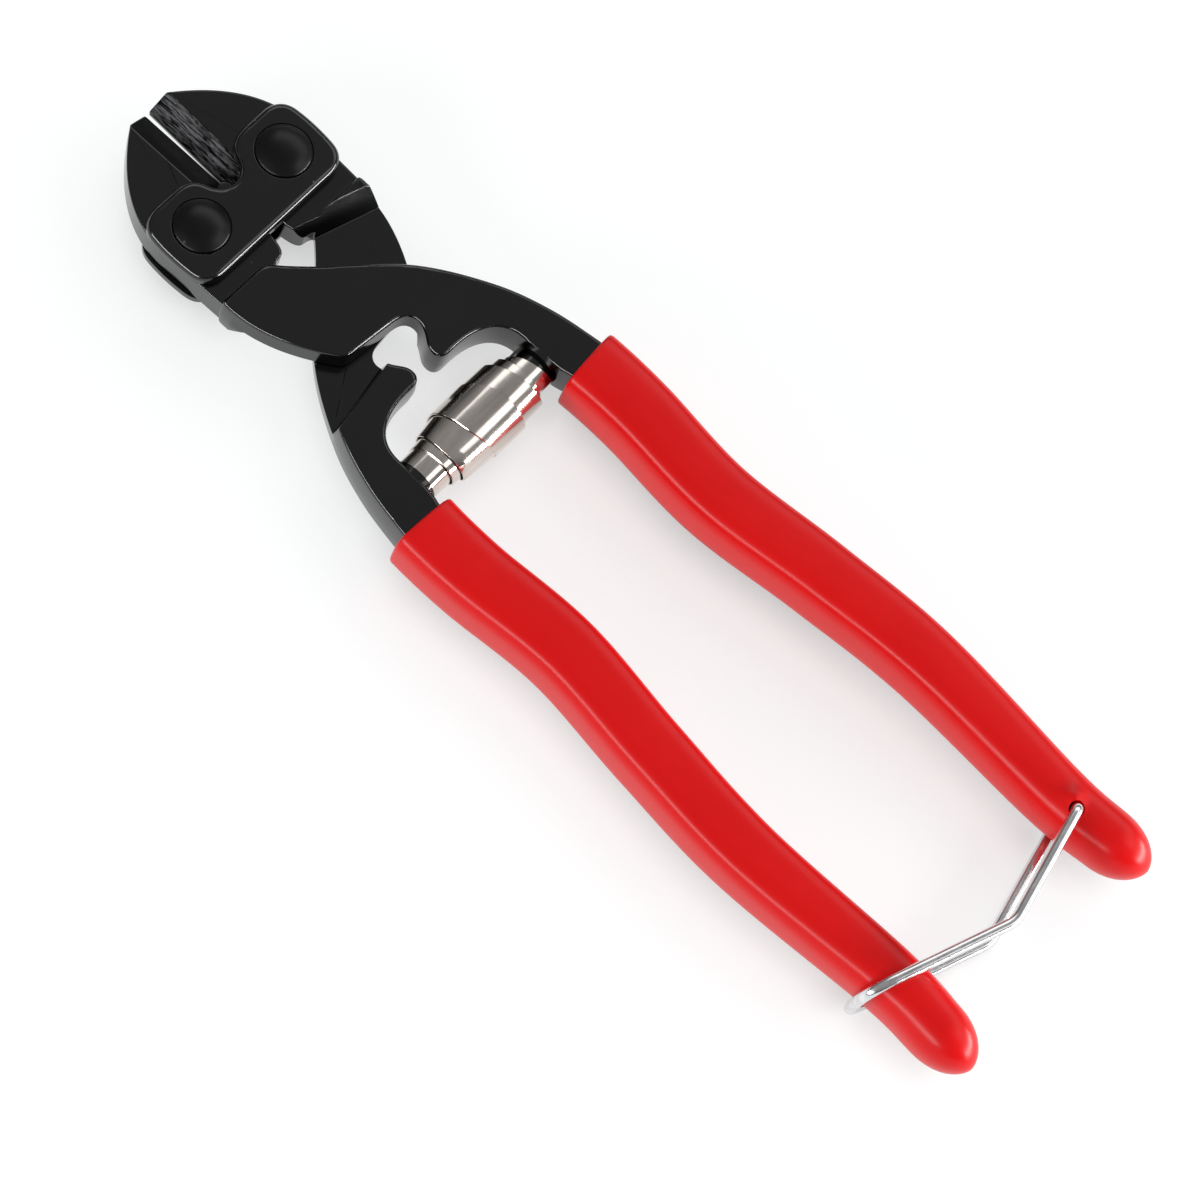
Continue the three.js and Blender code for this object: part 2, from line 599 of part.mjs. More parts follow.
const leverA = geometryOf(
  lever([-TOOTH_ANGLE, TOOTH_ANGLE], [0])
    .subtract(post(LATCH_X, LATCH_Y, WIRE_HOLE, -GRIP_THICKNESS, GRIP_THICKNESS, 24)),
);
const leverB = geometryOf(lever([0], [-TOOTH_ANGLE, TOOTH_ANGLE]));

tool.add(mesh("lever_a", leverA, enamel));
tool.add(mesh("front_plate", geometryOf(plate(1)), enamel));
tool.add(mesh("rear_plate", geometryOf(plate(-1)), enamel));
tool.add(mesh("spring", geometryOf(solid(springGeometry())), nickel));
tool.add(mesh("grip_a", geometryOf(grip(true)), vinyl));
tool.add(mesh("latch_wire", geometryOf(solid(latchGeometry())), wireSteel));

for (const [name, side] of [["rivet_a", -1], ["rivet_b", 1]]) {
  const rivet = mesh(name, rivetGeometry(), enamel);
  rivet.position.y = side * PIVOT_OFFSET;
  tool.add(rivet);
}

// Lever B and its grip are the same pieces turned over about the long axis.
const turned = new THREE.Group();
turned.rotation.x = Math.PI;
turned.add(mesh("lever_b", leverB, enamel));
turned.add(mesh("grip_b", geometryOf(grip(false)), vinyl));
tool.add(turned);

export default tool;
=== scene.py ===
import math

import bpy
from mathutils import Matrix, Vector
from mathutils.bvhtree import BVHTree


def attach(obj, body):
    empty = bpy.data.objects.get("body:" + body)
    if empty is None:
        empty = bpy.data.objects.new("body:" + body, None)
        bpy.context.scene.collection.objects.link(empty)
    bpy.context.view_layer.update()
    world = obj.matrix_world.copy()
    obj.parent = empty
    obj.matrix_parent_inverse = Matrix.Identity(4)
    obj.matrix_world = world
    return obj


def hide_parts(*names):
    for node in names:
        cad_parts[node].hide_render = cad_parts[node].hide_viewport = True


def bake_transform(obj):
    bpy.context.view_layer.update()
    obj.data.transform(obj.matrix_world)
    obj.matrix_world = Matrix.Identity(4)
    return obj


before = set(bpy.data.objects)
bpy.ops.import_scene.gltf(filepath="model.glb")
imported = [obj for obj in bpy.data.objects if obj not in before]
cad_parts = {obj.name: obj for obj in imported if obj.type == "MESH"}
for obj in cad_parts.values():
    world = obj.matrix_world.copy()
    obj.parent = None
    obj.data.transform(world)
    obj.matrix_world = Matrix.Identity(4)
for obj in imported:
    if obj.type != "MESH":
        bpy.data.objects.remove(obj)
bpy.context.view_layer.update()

MM = 0.001
MID_Z = 5.65                 # middle plane of the forgings above the rear plate's outer face

# Head
PIVOT_OFFSET = 9.9
JAW_EDGE = 17.0
JAW_THICKNESS = 6.0
JAW_REACH = 21.3
JAW_BELLY = 8.3
TIP_WIDTH = 3.9
BLADE_OPENING = 1.15         # degrees
HEEL_X = 2.0
GROUND_END = -1.4            # inner end of the ground slope
BLADE_BEVEL = 4.3
EDGE_LAND = 0.9
JAW_RIM = 0.45
JAW_SPACING = 0.35           # between the points of its outline
EASE = 0.17                  # small round edges
EASE_MOVE = 0.7              # farthest that easing may move a corner, in widths
PLATE_EASE = 0.16
PLATE_Z = 3.15
PLATE_THICKNESS = 2.5
PLATE_LEFT = 7.7
PLATE_RIGHT = 8.3
PLATE_HALF_HEIGHT = 17.6
PLATE_CORNER = 4.2
PLATE_CROWN = 0.4
PLATE_RIM = 1.25             # also the height of the wall under the rim
PLATE_SPACING = 0.4
NOTCH_HALF = 6.0
NOTCH_DEPTH = 5.8
RIVET_RADIUS = 3.2
RIVET_HOLE = 3.3
RIVET_SIDES = 72
SPOT_RADIUS = 5.0
SPOT_DEPTH = 0.3
TOOTH_RADIUS = 1.0
TOOTH_GAP = 0.3
TOOTH_HALF = 1.5
TOOTH_SIDES = 24
GAP_STEPS = 4                # poses that each tooth gap is cut for, past the first
TOOTH_ANGLE = 3.2 / PIVOT_OFFSET
OPEN_TRAVEL = 9.0            # degrees

# Forged crossing
FORGING_HALF = 4.25
FORGING_DRAFT = 4.5          # degrees
FORGING_RIM = 0.75
FORGING_SPACING = 0.55
FACE_START = 11.0
RAMP_START = 12.4
CROTCH_X = 17.7
WAIST_X = 33.4
WAIST_LOW = 8.8
STEP_START = 37.3
NUB_X = 41.6
NUB_HALF = 2.2
NUB_GAP = 2.0
HANDLE_INNER = 15.4
HANDLE_DEPTH = 7.6
LAP_HALF_GAP = 0.15
RAMP_RUN = 3.3
RAMP_SHIFT = 0.8             # the ramp starts this far before the raised face ends
RAMP_TILT = 16.5             # degrees
STEP_RUN = 0.8
STEP_TILT = -9.0             # degrees
SEAT_Y = 14.2
SEAT_RADIUS = 4.225
STUD_RADIUS = 3.125

# Grips
GRIP_START = 60.5
GRIP_END = 186.4
GRIP_LENGTH = GRIP_END - GRIP_START
GRIP_MIDDLE = 20.5
GRIP_WIDTH_START = 12.8
GRIP_WIDTH_END = 10.2
GRIP_THICKNESS = 13.0
GRIP_CLOSE = 8.5
GRIP_WALL = 2.0
GRIP_SQUARENESS = 4.0
TANG_END = 181.9

# Spring and latch
SPRING_X = 54.4
SPRING_STRIP = 0.3
LATCH_X = 170.5
LATCH_Y = 20.203
LATCH_REACH = 49.1           # snug round the other grip
LATCH_SWEPT = 6.0            # degrees
LATCH_HEIGHT = 7.7
KNEE = (4.8, -22.3)          # the bend in the legs, from the hole
KNEE_HEIGHT = 7.55
WIRE_END = 0.6
WIRE_BENDS = (1.5, 5, 5.5, 5.5, 5, 1.5)
WIRE_SIDES = 20
WIRE_RADIUS = 1.0
WIRE_HOLE = 1.35
THROUGH = 9                  # past both faces, for a bore

# No two cut faces may lie in one plane, so some pieces are moved by these.
JAW_NUDGE = Vector((-0.02, -0.007, -0.01))
CUT_NUDGE = Vector((-0.05, 0, 0.02))
SORT_FROM = (31.7, 52.3, 77.1)  # off every plane of symmetry, so that no two distances tie


# ---- Lines ---------------------------------------------------------------------------------

def bezier(corners, count):
    """Points along a Bezier curve after its first corner, which the line before it holds."""
    points = []
    for step in range(1, count + 1):
        share = step / count
        level = [Vector(c) for c in corners]
        while len(level) > 1:
            level = [a.lerp(b, share) for a, b in zip(level, level[1:])]
        points.append(level[0])
    return points


def spline(corners, count):
    """Points on a smooth line through all the corners, `count` to each stretch."""
    corners = [Vector(c) for c in corners]
    last = len(corners) - 1
    points = []
    for i in range(last):
        before = corners[max(i - 1, 0)]
        after = corners[min(i + 2, last)]
        a, b = corners[i], corners[i + 1]
        lead, trail = (b - before) * 0.5, (after - a) * 0.5
        for step in range(count):
            t = step / count
            points.append(
                (2 * t**3 - 3 * t**2 + 1) * a
                + (t**3 - 2 * t**2 + t) * lead
                + (3 * t**2 - 2 * t**3) * b
                + (t**3 - t**2) * trail
            )
    return points + [corners[last]]


def evenly(points, spacing):
    """A closed outline walked at an even spacing."""
    points = [Vector(p) for p in points]
    loop = points + [points[0]]
    lengths = [0.0]
    for a, b in zip(loop, loop[1:]):
        lengths.append(lengths[-1] + (b - a).length)
    count = round(lengths[-1] / spacing)
    walked, at = [], 0
    for i in range(count):
        target = lengths[-1] * i / count
        while lengths[at + 1] < target:
            at += 1
        span = lengths[at + 1] - lengths[at]
        walked.append(loop[at].lerp(loop[at + 1], (target - lengths[at]) / span))
    return walked


def softened(points, rounds):
    """A closed outline with its corners eased."""
    for _ in range(rounds):
        count = len(points)
        points = [
            (points[i - 1] + 2 * points[i] + points[(i + 1) % count]) / 4 for i in range(count)
        ]
    return points


HANDLE_TABLE = spline([
    (GRIP_START - 8, GRIP_MIDDLE - 1.1),
    (GRIP_START, GRIP_MIDDLE),
    (GRIP_START + 12, GRIP_MIDDLE + 0.1),
    (GRIP_START + 0.25 * GRIP_LENGTH, GRIP_MIDDLE - 1.2),
    (GRIP_START + 0.42 * GRIP_LENGTH, GRIP_MIDDLE + 1.12),
    (GRIP_START + 0.6 * GRIP_LENGTH, GRIP_MIDDLE + 2.8),
    (GRIP_START + 0.84 * GRIP_LENGTH, GRIP_MIDDLE + 1.4),
    (GRIP_END - GRIP_CLOSE, GRIP_MIDDLE + 2),
    (GRIP_END, GRIP_MIDDLE + 2.8),
], 40)


def handle_at(x):
    """The middle of a handle at x, and the way across it."""
    i = 0
    while i < len(HANDLE_TABLE) - 2 and HANDLE_TABLE[i + 1].x < x:
        i += 1
    a, b = HANDLE_TABLE[i], HANDLE_TABLE[i + 1]
    before = HANDLE_TABLE[max(i - 1, 0)]
    after = HANDLE_TABLE[min(i + 2, len(HANDLE_TABLE) - 1)]
    share = min(1.0, (x - a.x) / (b.x - a.x))
    along = (b - before).normalized().lerp((after - a).normalized(), share).normalized()
    return a.lerp(b, share), Vector((-along.y, along.x))


def grip_half_open(x):
    """Half the grip's width at x, before its end rounds off."""
    share = (x - GRIP_START) / GRIP_LENGTH
    return (GRIP_WIDTH_START + (GRIP_WIDTH_END - GRIP_WIDTH_START) * share) / 2


def grip_half(x):
    """Half the grip's width at x."""
    past = max(0.0, (x - GRIP_END + GRIP_CLOSE) / GRIP_CLOSE)
    return grip_half_open(x) * max(0.0, 1 - past**2.2) ** (1 / 1.7)


def handle_point(x, side, inset):
    """A point in from the grip's outer (side 1) or inner (side -1) edge."""
    point, across = handle_at(x)
    return point + across * side * (grip_half(x) - inset)


def tang_outline(start, grow):
    """The tang's outer side, its round end and its inner side."""
    outer, inner = [], []
    for i in range(61):
        x = start + (TANG_END + grow - start) * (1 - (1 - i / 60) ** 1.6)
        outer.append(handle_point(x, 1, GRIP_WALL - grow))
        inner.insert(0, handle_point(x, -1, GRIP_WALL - grow))
    return outer + inner


def forging_outline():
    """Crossing web, land beside the hub, handle and tang, at the middle plane."""
    nub_left, nub_right = NUB_X - NUB_HALF, NUB_X + NUB_HALF
    waist = Vector((WAIST_X - 0.8, -WAIST_LOW))
    points = [Vector((FACE_START, -JAW_EDGE)), Vector((RAMP_START, -JAW_EDGE))]
    points += bezier([points[-1], (CROTCH_X + 4.3, -JAW_EDGE), waist], 40)
    points.append(Vector((WAIST_X + 0.3, NUB_GAP + 0.6)))
    points += bezier([
        points[-1],
        (WAIST_X + 1, NUB_GAP + 3.4),
        (nub_left - 2.2, NUB_GAP + 3),
        (nub_left, NUB_GAP + 0.8),
    ], 20)
    points += bezier([points[-1], (nub_left + 0.8, NUB_GAP), (NUB_X, NUB_GAP)], 10)
    points += bezier([points[-1], (nub_right, NUB_GAP), (nub_right, NUB_GAP + 2.2)], 10)
    points += bezier([
        points[-1],
        (nub_right - 0.4, NUB_GAP + 7),
        (nub_right + 0.8, HANDLE_INNER - 0.2),
        (SPRING_X - SEAT_RADIUS, HANDLE_INNER - 0.2),
    ], 30)
    points.append(Vector((SPRING_X + SEAT_RADIUS, HANDLE_INNER)))
    points += tang_outline(GRIP_START, 0)[::-1]
    points += spline([
        points[-1],
        (SPRING_X - SEAT_RADIUS, HANDLE_INNER + HANDLE_DEPTH),
        (NUB_X - 1.6, HANDLE_INNER + HANDLE_DEPTH / 2),
        (WAIST_X - 5.2, HANDLE_INNER - HANDLE_DEPTH / 2),
        (CROTCH_X, 0),
        (FACE_START + 1.8, -PIVOT_OFFSET / 2),
    ], 16)[1:]
    points += bezier([
        points[-1], (FACE_START, -PIVOT_OFFSET / 2 - 1), (FACE_START, -PIVOT_OFFSET / 2 - 3),
    ], 10)
    return points


def jaw_outline():
    """Jaw and hub, drawn with the blades closed on y = 0."""
    hub = PIVOT_OFFSET - TOOTH_GAP / 2
    heel = math.acos(-HEEL_X / hub)
    end = math.radians(68)
    points = [Vector((-JAW_REACH, 0)), Vector((-HEEL_X, 0))]
    for i in range(41):
        angle = heel + (end - heel) * i / 40
        points.append(Vector((hub * math.cos(angle), hub * math.sin(angle) - PIVOT_OFFSET)))
    points += [Vector((6, -1.2)), Vector((9, -1.7))]
    points += bezier([points[-1], (RAMP_START - 0.1, -2.2), (RAMP_START - 0.1, -3.4)], 8)
    points += bezier([points[-1], (RAMP_START - 0.1, -5), (RAMP_START + 0.8, -5.6)], 6)
    points.append(Vector((RAMP_START + 0.8, -JAW_EDGE + 0.2)))
    points.append(Vector((-2, -JAW_EDGE)))
    belly = (-JAW_REACH + JAW_BELLY, -JAW_EDGE + 0.5)
    points += bezier([points[-1], belly, (-JAW_REACH, -TIP_WIDTH)], 30)
    return points


def plate_outline():
    """A side plate: a rounded block with a curved notch on the jaw side."""
    top = PLATE_HALF_HEIGHT - PLATE_CROWN / 2
    low = top - PLATE_CROWN / 2
    side = PLATE_HALF_HEIGHT - PLATE_CORNER
    floor = -PLATE_LEFT + NOTCH_DEPTH
    half = spline([
        (floor, 0), (floor - 0.1, 1.2), (floor - 0.85, 2.5), (floor - 2.2, 3.4),
        (floor - 3.7, NOTCH_HALF - 2), (floor - 5, NOTCH_HALF - 0.85),
        (-PLATE_LEFT + 0.15, NOTCH_HALF + 0.9), (-PLATE_LEFT, NOTCH_HALF + 2.8),
    ], 8)
    half.append(Vector((-PLATE_LEFT, side)))
    half += bezier([half[-1], (-PLATE_LEFT + 0.6, low), (-PLATE_LEFT + PLATE_CORNER, top)], 14)
    half += bezier([half[-1], (0, top + PLATE_CROWN), (PLATE_RIGHT - PLATE_CORNER, top)], 10)
    half += bezier([half[-1], (PLATE_RIGHT - 0.6, low), (PLATE_RIGHT, side)], 14)
    mirrored = [Vector((p.x, -p.y)) for p in half[1:]][::-1]
    return half + mirrored


# ---- Modelling -----------------------------------------------------------------------------

def deselect():
    for chosen in list(bpy.context.selected_objects):
        chosen.select_set(False)


def pick(piece):
    """Only this piece is selected and active."""
    deselect()
    piece.select_set(True)
    bpy.context.view_layer.objects.active = piece


def outline_face(name, outline, height):
    """One flat face of the given outline."""
    deselect()
    bpy.ops.mesh.primitive_circle_add(vertices=len(outline), radius=10, fill_type="NGON")
    piece = bpy.context.object
    piece.name = name
    for vertex, point in zip(piece.data.vertices, outline):
        vertex.co = (point.x, point.y, height)
    return piece


def raised(piece, steps):
    """The selected face goes in and up by each (inset, rise) in turn."""
    pick(piece)
    bpy.ops.object.mode_set(mode="EDIT")
    bpy.ops.mesh.select_all(action="SELECT")
    bpy.ops.mesh.normals_make_consistent(inside=False)
    for inset, rise in steps:
        bpy.ops.mesh.inset(thickness=inset, depth=rise, use_even_offset=True)
    bpy.ops.object.mode_set(mode="OBJECT")


def rim_steps(radius, count, draft=0.0):
    """(inset, rise) steps of a rounded rim, from a wall that leans by `draft` degrees."""
    steps = []
    start = math.radians(draft)
    angles = [start + (math.pi / 2 - start) * i / count for i in range(count + 1)]
    for a, b in zip(angles, angles[1:]):
        steps.append((radius * (math.cos(a) - math.cos(b)), radius * (math.sin(b) - math.sin(a))))
    return steps


def apply(piece, kind, **settings):
    """Adds a modifier, sets it and applies it."""
    pick(piece)
    modifier = piece.modifiers.new(kind.title(), kind)
    for key, value in settings.items():
        setattr(modifier, key, value)
    bpy.ops.object.modifier_apply(modifier=modifier.name)


def outward(piece):
    """Merges points that meet and turns every face outwards."""
    pick(piece)
    bpy.ops.object.mode_set(mode="EDIT")
    bpy.ops.mesh.select_all(action="SELECT")
    bpy.ops.mesh.remove_doubles(threshold=0.001)
    bpy.ops.mesh.normals_make_consistent(inside=False)
    bpy.ops.object.mode_set(mode="OBJECT")


def two_sided(name, outline, half, wall_draft, rim, count=5):
    """A slab about the middle plane, with drafted walls and rounded rims."""
    piece = outline_face(name, outline, 0)
    wall = half - rim * (1 - math.sin(math.radians(wall_draft)))
    lean = wall * math.tan(math.radians(wall_draft))
    raised(piece, [(lean, wall)] + rim_steps(rim, count, wall_draft))
    apply(
        piece, "MIRROR", use_axis=(False, False, True), use_mirror_merge=True, merge_threshold=0.01,
    )
    outward(piece)
    return piece


def prism(name, outline, low, high):
    """A plain slab between two heights."""
    piece = outline_face(name, outline, low)
    pick(piece)
    bpy.ops.object.mode_set(mode="EDIT")
    bpy.ops.mesh.select_all(action="SELECT")
    bpy.ops.mesh.extrude_region_move(TRANSFORM_OT_translate={"value": (0, 0, high - low)})
    bpy.ops.object.mode_set(mode="OBJECT")
    outward(piece)
    return piece


def round_bar(name, x, y, radius, low, high, sides=48):
    """An upright round bar between two heights."""
    deselect()
    bpy.ops.mesh.primitive_cylinder_add(
        vertices=sides, radius=radius, depth=high - low, location=(x, y, (low + high) / 2),
    )
    piece = bpy.context.object
    piece.name = name
    pick(piece)
    bpy.ops.object.transform_apply(location=True, rotation=True, scale=True)
    return piece


def joined(piece, other, operation):
    """piece with another solid added or taken away. The other one is used up."""
    apply(piece, "TRIANGULATE", min_vertices=5)
    apply(piece, "BOOLEAN", operation=operation, solver="FAST", object=other)
    mesh = other.data
    bpy.data.objects.remove(other)
    bpy.data.meshes.remove(mesh)


def copied(piece, name):
    """A second piece with a mesh of its own."""
    twin = piece.copy()
    twin.data = piece.data.copy()
    twin.name = name
    bpy.context.scene.collection.objects.link(twin)
    return twin


def turned(piece, matrix):
    """The same piece with its mesh moved."""
    piece.data.transform(matrix)
    return piece


def settle(piece, body, node, materials, angle=30, flats=False):
    """With no body or node, the caller makes those calls itself."""
    outward(piece)
    bpy.ops.object.mode_set(mode="EDIT")
    bpy.ops.mesh.select_all(action="SELECT")
    bpy.ops.mesh.delete_loose()
    bpy.ops.object.mode_set(mode="OBJECT")
    bpy.ops.object.shade_smooth_by_angle(angle=math.radians(angle))
    if flats:
        apply(piece, "WEIGHTED_NORMAL", weight=100, keep_sharp=True)
    piece.data.transform(Matrix.Scale(MM, 4) @ Matrix.Translation((0, 0, MID_Z)))
    for material in materials:
        piece.data.materials.append(material)
    if body:
        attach(piece, body)
    if node:
        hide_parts(node)
    return piece


def skin(name, rows, columns, place):
    """A grid whose (row, column) points go where `place` says, sewn up where they meet."""
    deselect()
    bpy.ops.mesh.primitive_grid_add(x_subdivisions=columns, y_subdivisions=rows, size=2)
    piece = bpy.context.object
    piece.name = name
    for vertex in piece.data.vertices:
        column = round((vertex.co.x + 1) / 2 * columns)
        row = round((vertex.co.y + 1) / 2 * rows)
        vertex.co = place(row, column)
    outward(piece)
    return piece


# ---- Levers --------------------------------------------------------------------------------

def lap_cutter():
    """The air behind the front half-lap: a ramped wall at the hub's end and a step at the other."""
    top = LAP_HALF_GAP
    floor = -FORGING_HALF - 1.5
    deselect()
    bpy.ops.mesh.primitive_cube_add(size=2)
    piece = bpy.context.object
    for vertex in piece.data.vertices:
        at_step = vertex.co.x > 0
        height = top if vertex.co.z > 0 else floor
        share = (height + FORGING_HALF) / (top + FORGING_HALF)
        if at_step:
            x, tilt, start_y = STEP_START - STEP_RUN * share, STEP_TILT, NUB_GAP
        else:
            x = RAMP_START - RAMP_SHIFT + RAMP_RUN * share
            tilt, start_y = RAMP_TILT, -PIVOT_OFFSET
        y = 34 if vertex.co.y > 0 else -30
        vertex.co = (x - math.tan(math.radians(tilt)) * (y - start_y), y, height)
    outward(piece)
    return piece


def bevel_cutter(side):
    """The air over a blade's ground slope, on the front (side 1) or the rear (side -1)."""
    land = EDGE_LAND / 2
    slope = (JAW_THICKNESS / 2 - land) / BLADE_BEVEL
    past = 2.0
    deselect()
    bpy.ops.mesh.primitive_cube_add(size=2)
    piece = bpy.context.object
    for vertex in piece.data.vertices:
        x = -JAW_REACH - past if vertex.co.x < 0 else GROUND_END
        y = -BLADE_BEVEL - past if vertex.co.y < 0 else past
        height = 8.0 if vertex.co.z > 0 else land - slope * y
        vertex.co = (x, y, side * height)
    outward(piece)
    return piece


def tooth_centre(angle):
    """A tooth's middle on the pitch circle, `angle` from the line between the pivots."""
    return Vector((PIVOT_OFFSET * math.sin(angle), PIVOT_OFFSET * (math.cos(angle) - 1)))


def partner_tooth(angle, turn):
    """Where the other lever's tooth stands when both levers have opened by `turn`."""
    centre = tooth_centre(angle)
    centre.y = -centre.y
    for pivot in (Vector((0, PIVOT_OFFSET)), Vector((0, -PIVOT_OFFSET))):
        arm = centre - pivot
        arm.rotate(Matrix.Rotation(-turn, 2))
        centre = pivot + arm
    return centre


def forged_lever(name, teeth, partner_teeth):
    """One forging drawn as lever A: jaw at -y, handle at +y, front layer at the crossing."""
    outline = softened(evenly(jaw_outline(), JAW_SPACING), 1)
    jaw = two_sided("jaw", outline, JAW_THICKNESS / 2, 0, JAW_RIM)
    joined(jaw, bevel_cutter(1), "DIFFERENCE")
    joined(jaw, bevel_cutter(-1), "DIFFERENCE")
    turned(jaw, Matrix.Translation(Vector((0, -PIVOT_OFFSET, 0)) + JAW_NUDGE)
           @ Matrix.Rotation(math.radians(BLADE_OPENING), 4, "Z")
           @ Matrix.Translation((0, PIVOT_OFFSET, 0)))
    joined(jaw, turned(lap_cutter(), Matrix.Translation(CUT_NUDGE)), "DIFFERENCE")
    joined(jaw, round_bar("bore", 0, -PIVOT_OFFSET, RIVET_HOLE, -6, 6), "DIFFERENCE")
    for angle in teeth:
        centre = tooth_centre(angle)
        tooth = round_bar(
            "tooth", centre.x, centre.y, TOOTH_RADIUS, -TOOTH_HALF, TOOTH_HALF, TOOTH_SIDES,
        )
        joined(jaw, tooth, "UNION")
    for angle in partner_teeth:
        for i in range(GAP_STEPS + 1):
            turn = math.radians(-BLADE_OPENING + (OPEN_TRAVEL + BLADE_OPENING) * i / GAP_STEPS)
            centre = partner_tooth(angle, turn)
            radius = TOOTH_RADIUS + TOOTH_GAP
            gap = round_bar("gap", centre.x, centre.y, radius, -5, 5, TOOTH_SIDES)
            joined(jaw, gap, "DIFFERENCE")
    outline = softened(evenly(forging_outline(), FORGING_SPACING), 4)
    body = two_sided(name, outline, FORGING_HALF, FORGING_DRAFT, FORGING_RIM)
    joined(body, lap_cutter(), "DIFFERENCE")
    joined(body, jaw, "UNION")
    ease_edges(body, EASE, FORGING_HALF, (
        (0, -PIVOT_OFFSET, 6), (0, PIVOT_OFFSET, 6),     # under the plates
        (11.4, -16.6, 0.9),                              # where the jaw's wall runs into the handle's
    ))
    for radius, low, high in (
        (SEAT_RADIUS, SEAT_Y + 0.6, SEAT_Y + 2.2), (STUD_RADIUS, SEAT_Y - 2.4, SEAT_Y + 1),
    ):
        bar = round_bar("pad", 0, 0, radius, low, high)
        turned(bar, Matrix.Translation((SPRING_X, 0, 0)) @ Matrix.Rotation(-math.pi / 2, 4, "X"))
        joined(body, bar, "UNION")
    return body


def ease_edges(piece, width, reach, left_sharp, limit=27):
    """Small round edges where cuts and faces meet, except inside the (x, y, radius) circles."""
    pick(piece)
    bpy.ops.object.mode_set(mode="EDIT")
    bpy.ops.mesh.select_all(action="SELECT")
    bpy.context.scene.cursor.location = SORT_FROM
    bpy.ops.mesh.sort_elements(type="CURSOR_DISTANCE", elements={"VERT", "EDGE", "FACE"})
    bpy.context.scene.cursor.location = (0, 0, 0)
    bpy.ops.mesh.remove_doubles(threshold=0.002)
    bpy.ops.mesh.dissolve_limited(angle_limit=math.radians(0.1))
    bpy.ops.mesh.select_all(action="DESELECT")
    bpy.ops.mesh.select_mode(type="EDGE")
    bpy.ops.mesh.edges_select_sharp(sharpness=math.radians(limit))
    bpy.ops.object.mode_set(mode="OBJECT")
    mesh = piece.data
    corners = [vertex.co for vertex in mesh.vertices]
    before = BVHTree.FromPolygons(corners, [face.vertices for face in mesh.polygons])
    weights = mesh.attributes.new("bevel_weight_edge", "FLOAT", "EDGE")
    for edge, weight in zip(mesh.edges, weights.data):
        middle = (mesh.vertices[edge.vertices[0]].co + mesh.vertices[edge.vertices[1]].co) / 2
        kept = any(math.hypot(middle.x - x, middle.y - y) < radius for x, y, radius in left_sharp)
        weight.value = float(edge.select and not kept)
    apply(piece, "BEVEL", width=width, segments=2, limit_method="WEIGHT", use_clamp_overlap=False)
    for vertex in piece.data.vertices:
        nearest, _, _, distance = before.find_nearest(vertex.co)
        if distance > EASE_MOVE * width:      # a corner thrown out where several edges meet
            vertex.co = nearest
        vertex.co.z = min(max(vertex.co.z, -reach), reach)
    apply(piece, "TRIANGULATE", min_vertices=5)


# ---- Plates and rivets ---------------------------------------------------------------------

def front_side_plate(name):
    """The plate with its rounded rim, two bores and a shallow recess round each rivet's head."""
    outline = softened(evenly(plate_outline(), PLATE_SPACING), 2)
    piece = prism(name, outline, PLATE_Z, PLATE_Z + PLATE_RIM)
    pick(piece)
    bpy.ops.object.mode_set(mode="EDIT")
    bpy.ops.mesh.select_all(action="DESELECT")
    bpy.ops.object.mode_set(mode="OBJECT")
    for face in piece.data.polygons:
        face.select = face.normal.z > 0.9
    bpy.ops.object.mode_set(mode="EDIT")
    for inset, rise in rim_steps(PLATE_RIM, 7):
        bpy.ops.mesh.inset(thickness=inset, depth=rise, use_even_offset=True)
    bpy.ops.object.mode_set(mode="OBJECT")
    outer = PLATE_Z + PLATE_THICKNESS
    for y in (-PIVOT_OFFSET, PIVOT_OFFSET):
        spot = round_bar("spot", 0, y, SPOT_RADIUS, outer - SPOT_DEPTH, outer + 2, RIVET_SIDES)
        joined(piece, spot, "DIFFERENCE")
        joined(piece, round_bar("bore", 0, y, RIVET_HOLE, 0, THROUGH), "DIFFERENCE")
    ease_edges(piece, PLATE_EASE, PLATE_Z + PLATE_THICKNESS, (
        (0, -PIVOT_OFFSET, 4), (0, PIVOT_OFFSET, 4),     # the bores
    ))
    return piece


# radius and height, from the shank out round the head to its crown
RIVET_PROFILE = [
    (RIVET_RADIUS, 5.37), (4.68, 5.37), (4.8, 5.47), (4.82, 5.68), (4.76, 5.86),
    (4.62, 5.99), (4.42, 6.11),
    (4.0, 6.38), (3.5, 6.66), (3.0, 6.88), (2.4, 7.08), (1.7, 7.24), (0.9, 7.33), (0, 7.35),
]


def rivet(name, y):
    """A shank with a low dome at each end."""
    profile = [(r, -z) for r, z in RIVET_PROFILE][::-1] + RIVET_PROFILE

    def place(row, column):
        radius, height = profile[row]
        angle = 2 * math.pi * column / RIVET_SIDES
        return (radius * math.cos(angle), y + radius * math.sin(angle), height)

    return skin(name, len(profile) - 1, RIVET_SIDES, place)


# ---- Grips ---------------------------------------------------------------------------------

GRIP_LIP = 0.7
TIP_SQUARENESS = 2.15        # 2 is an ellipse, more is squarer
CAVITY_SQUARENESS = 7.0
CAVITY_CLEARANCE = 0.14
CAVITY_HALF = FORGING_HALF + CAVITY_CLEARANCE
CAVITY_PAST = 0.4            # cavity past the tang's end
SWELL_X = LATCH_X - 1.5
SWELL_Y = LATCH_Y + 1.3
SWELL_RADIUS = 1.5
SWELL_HEIGHT = 0.85


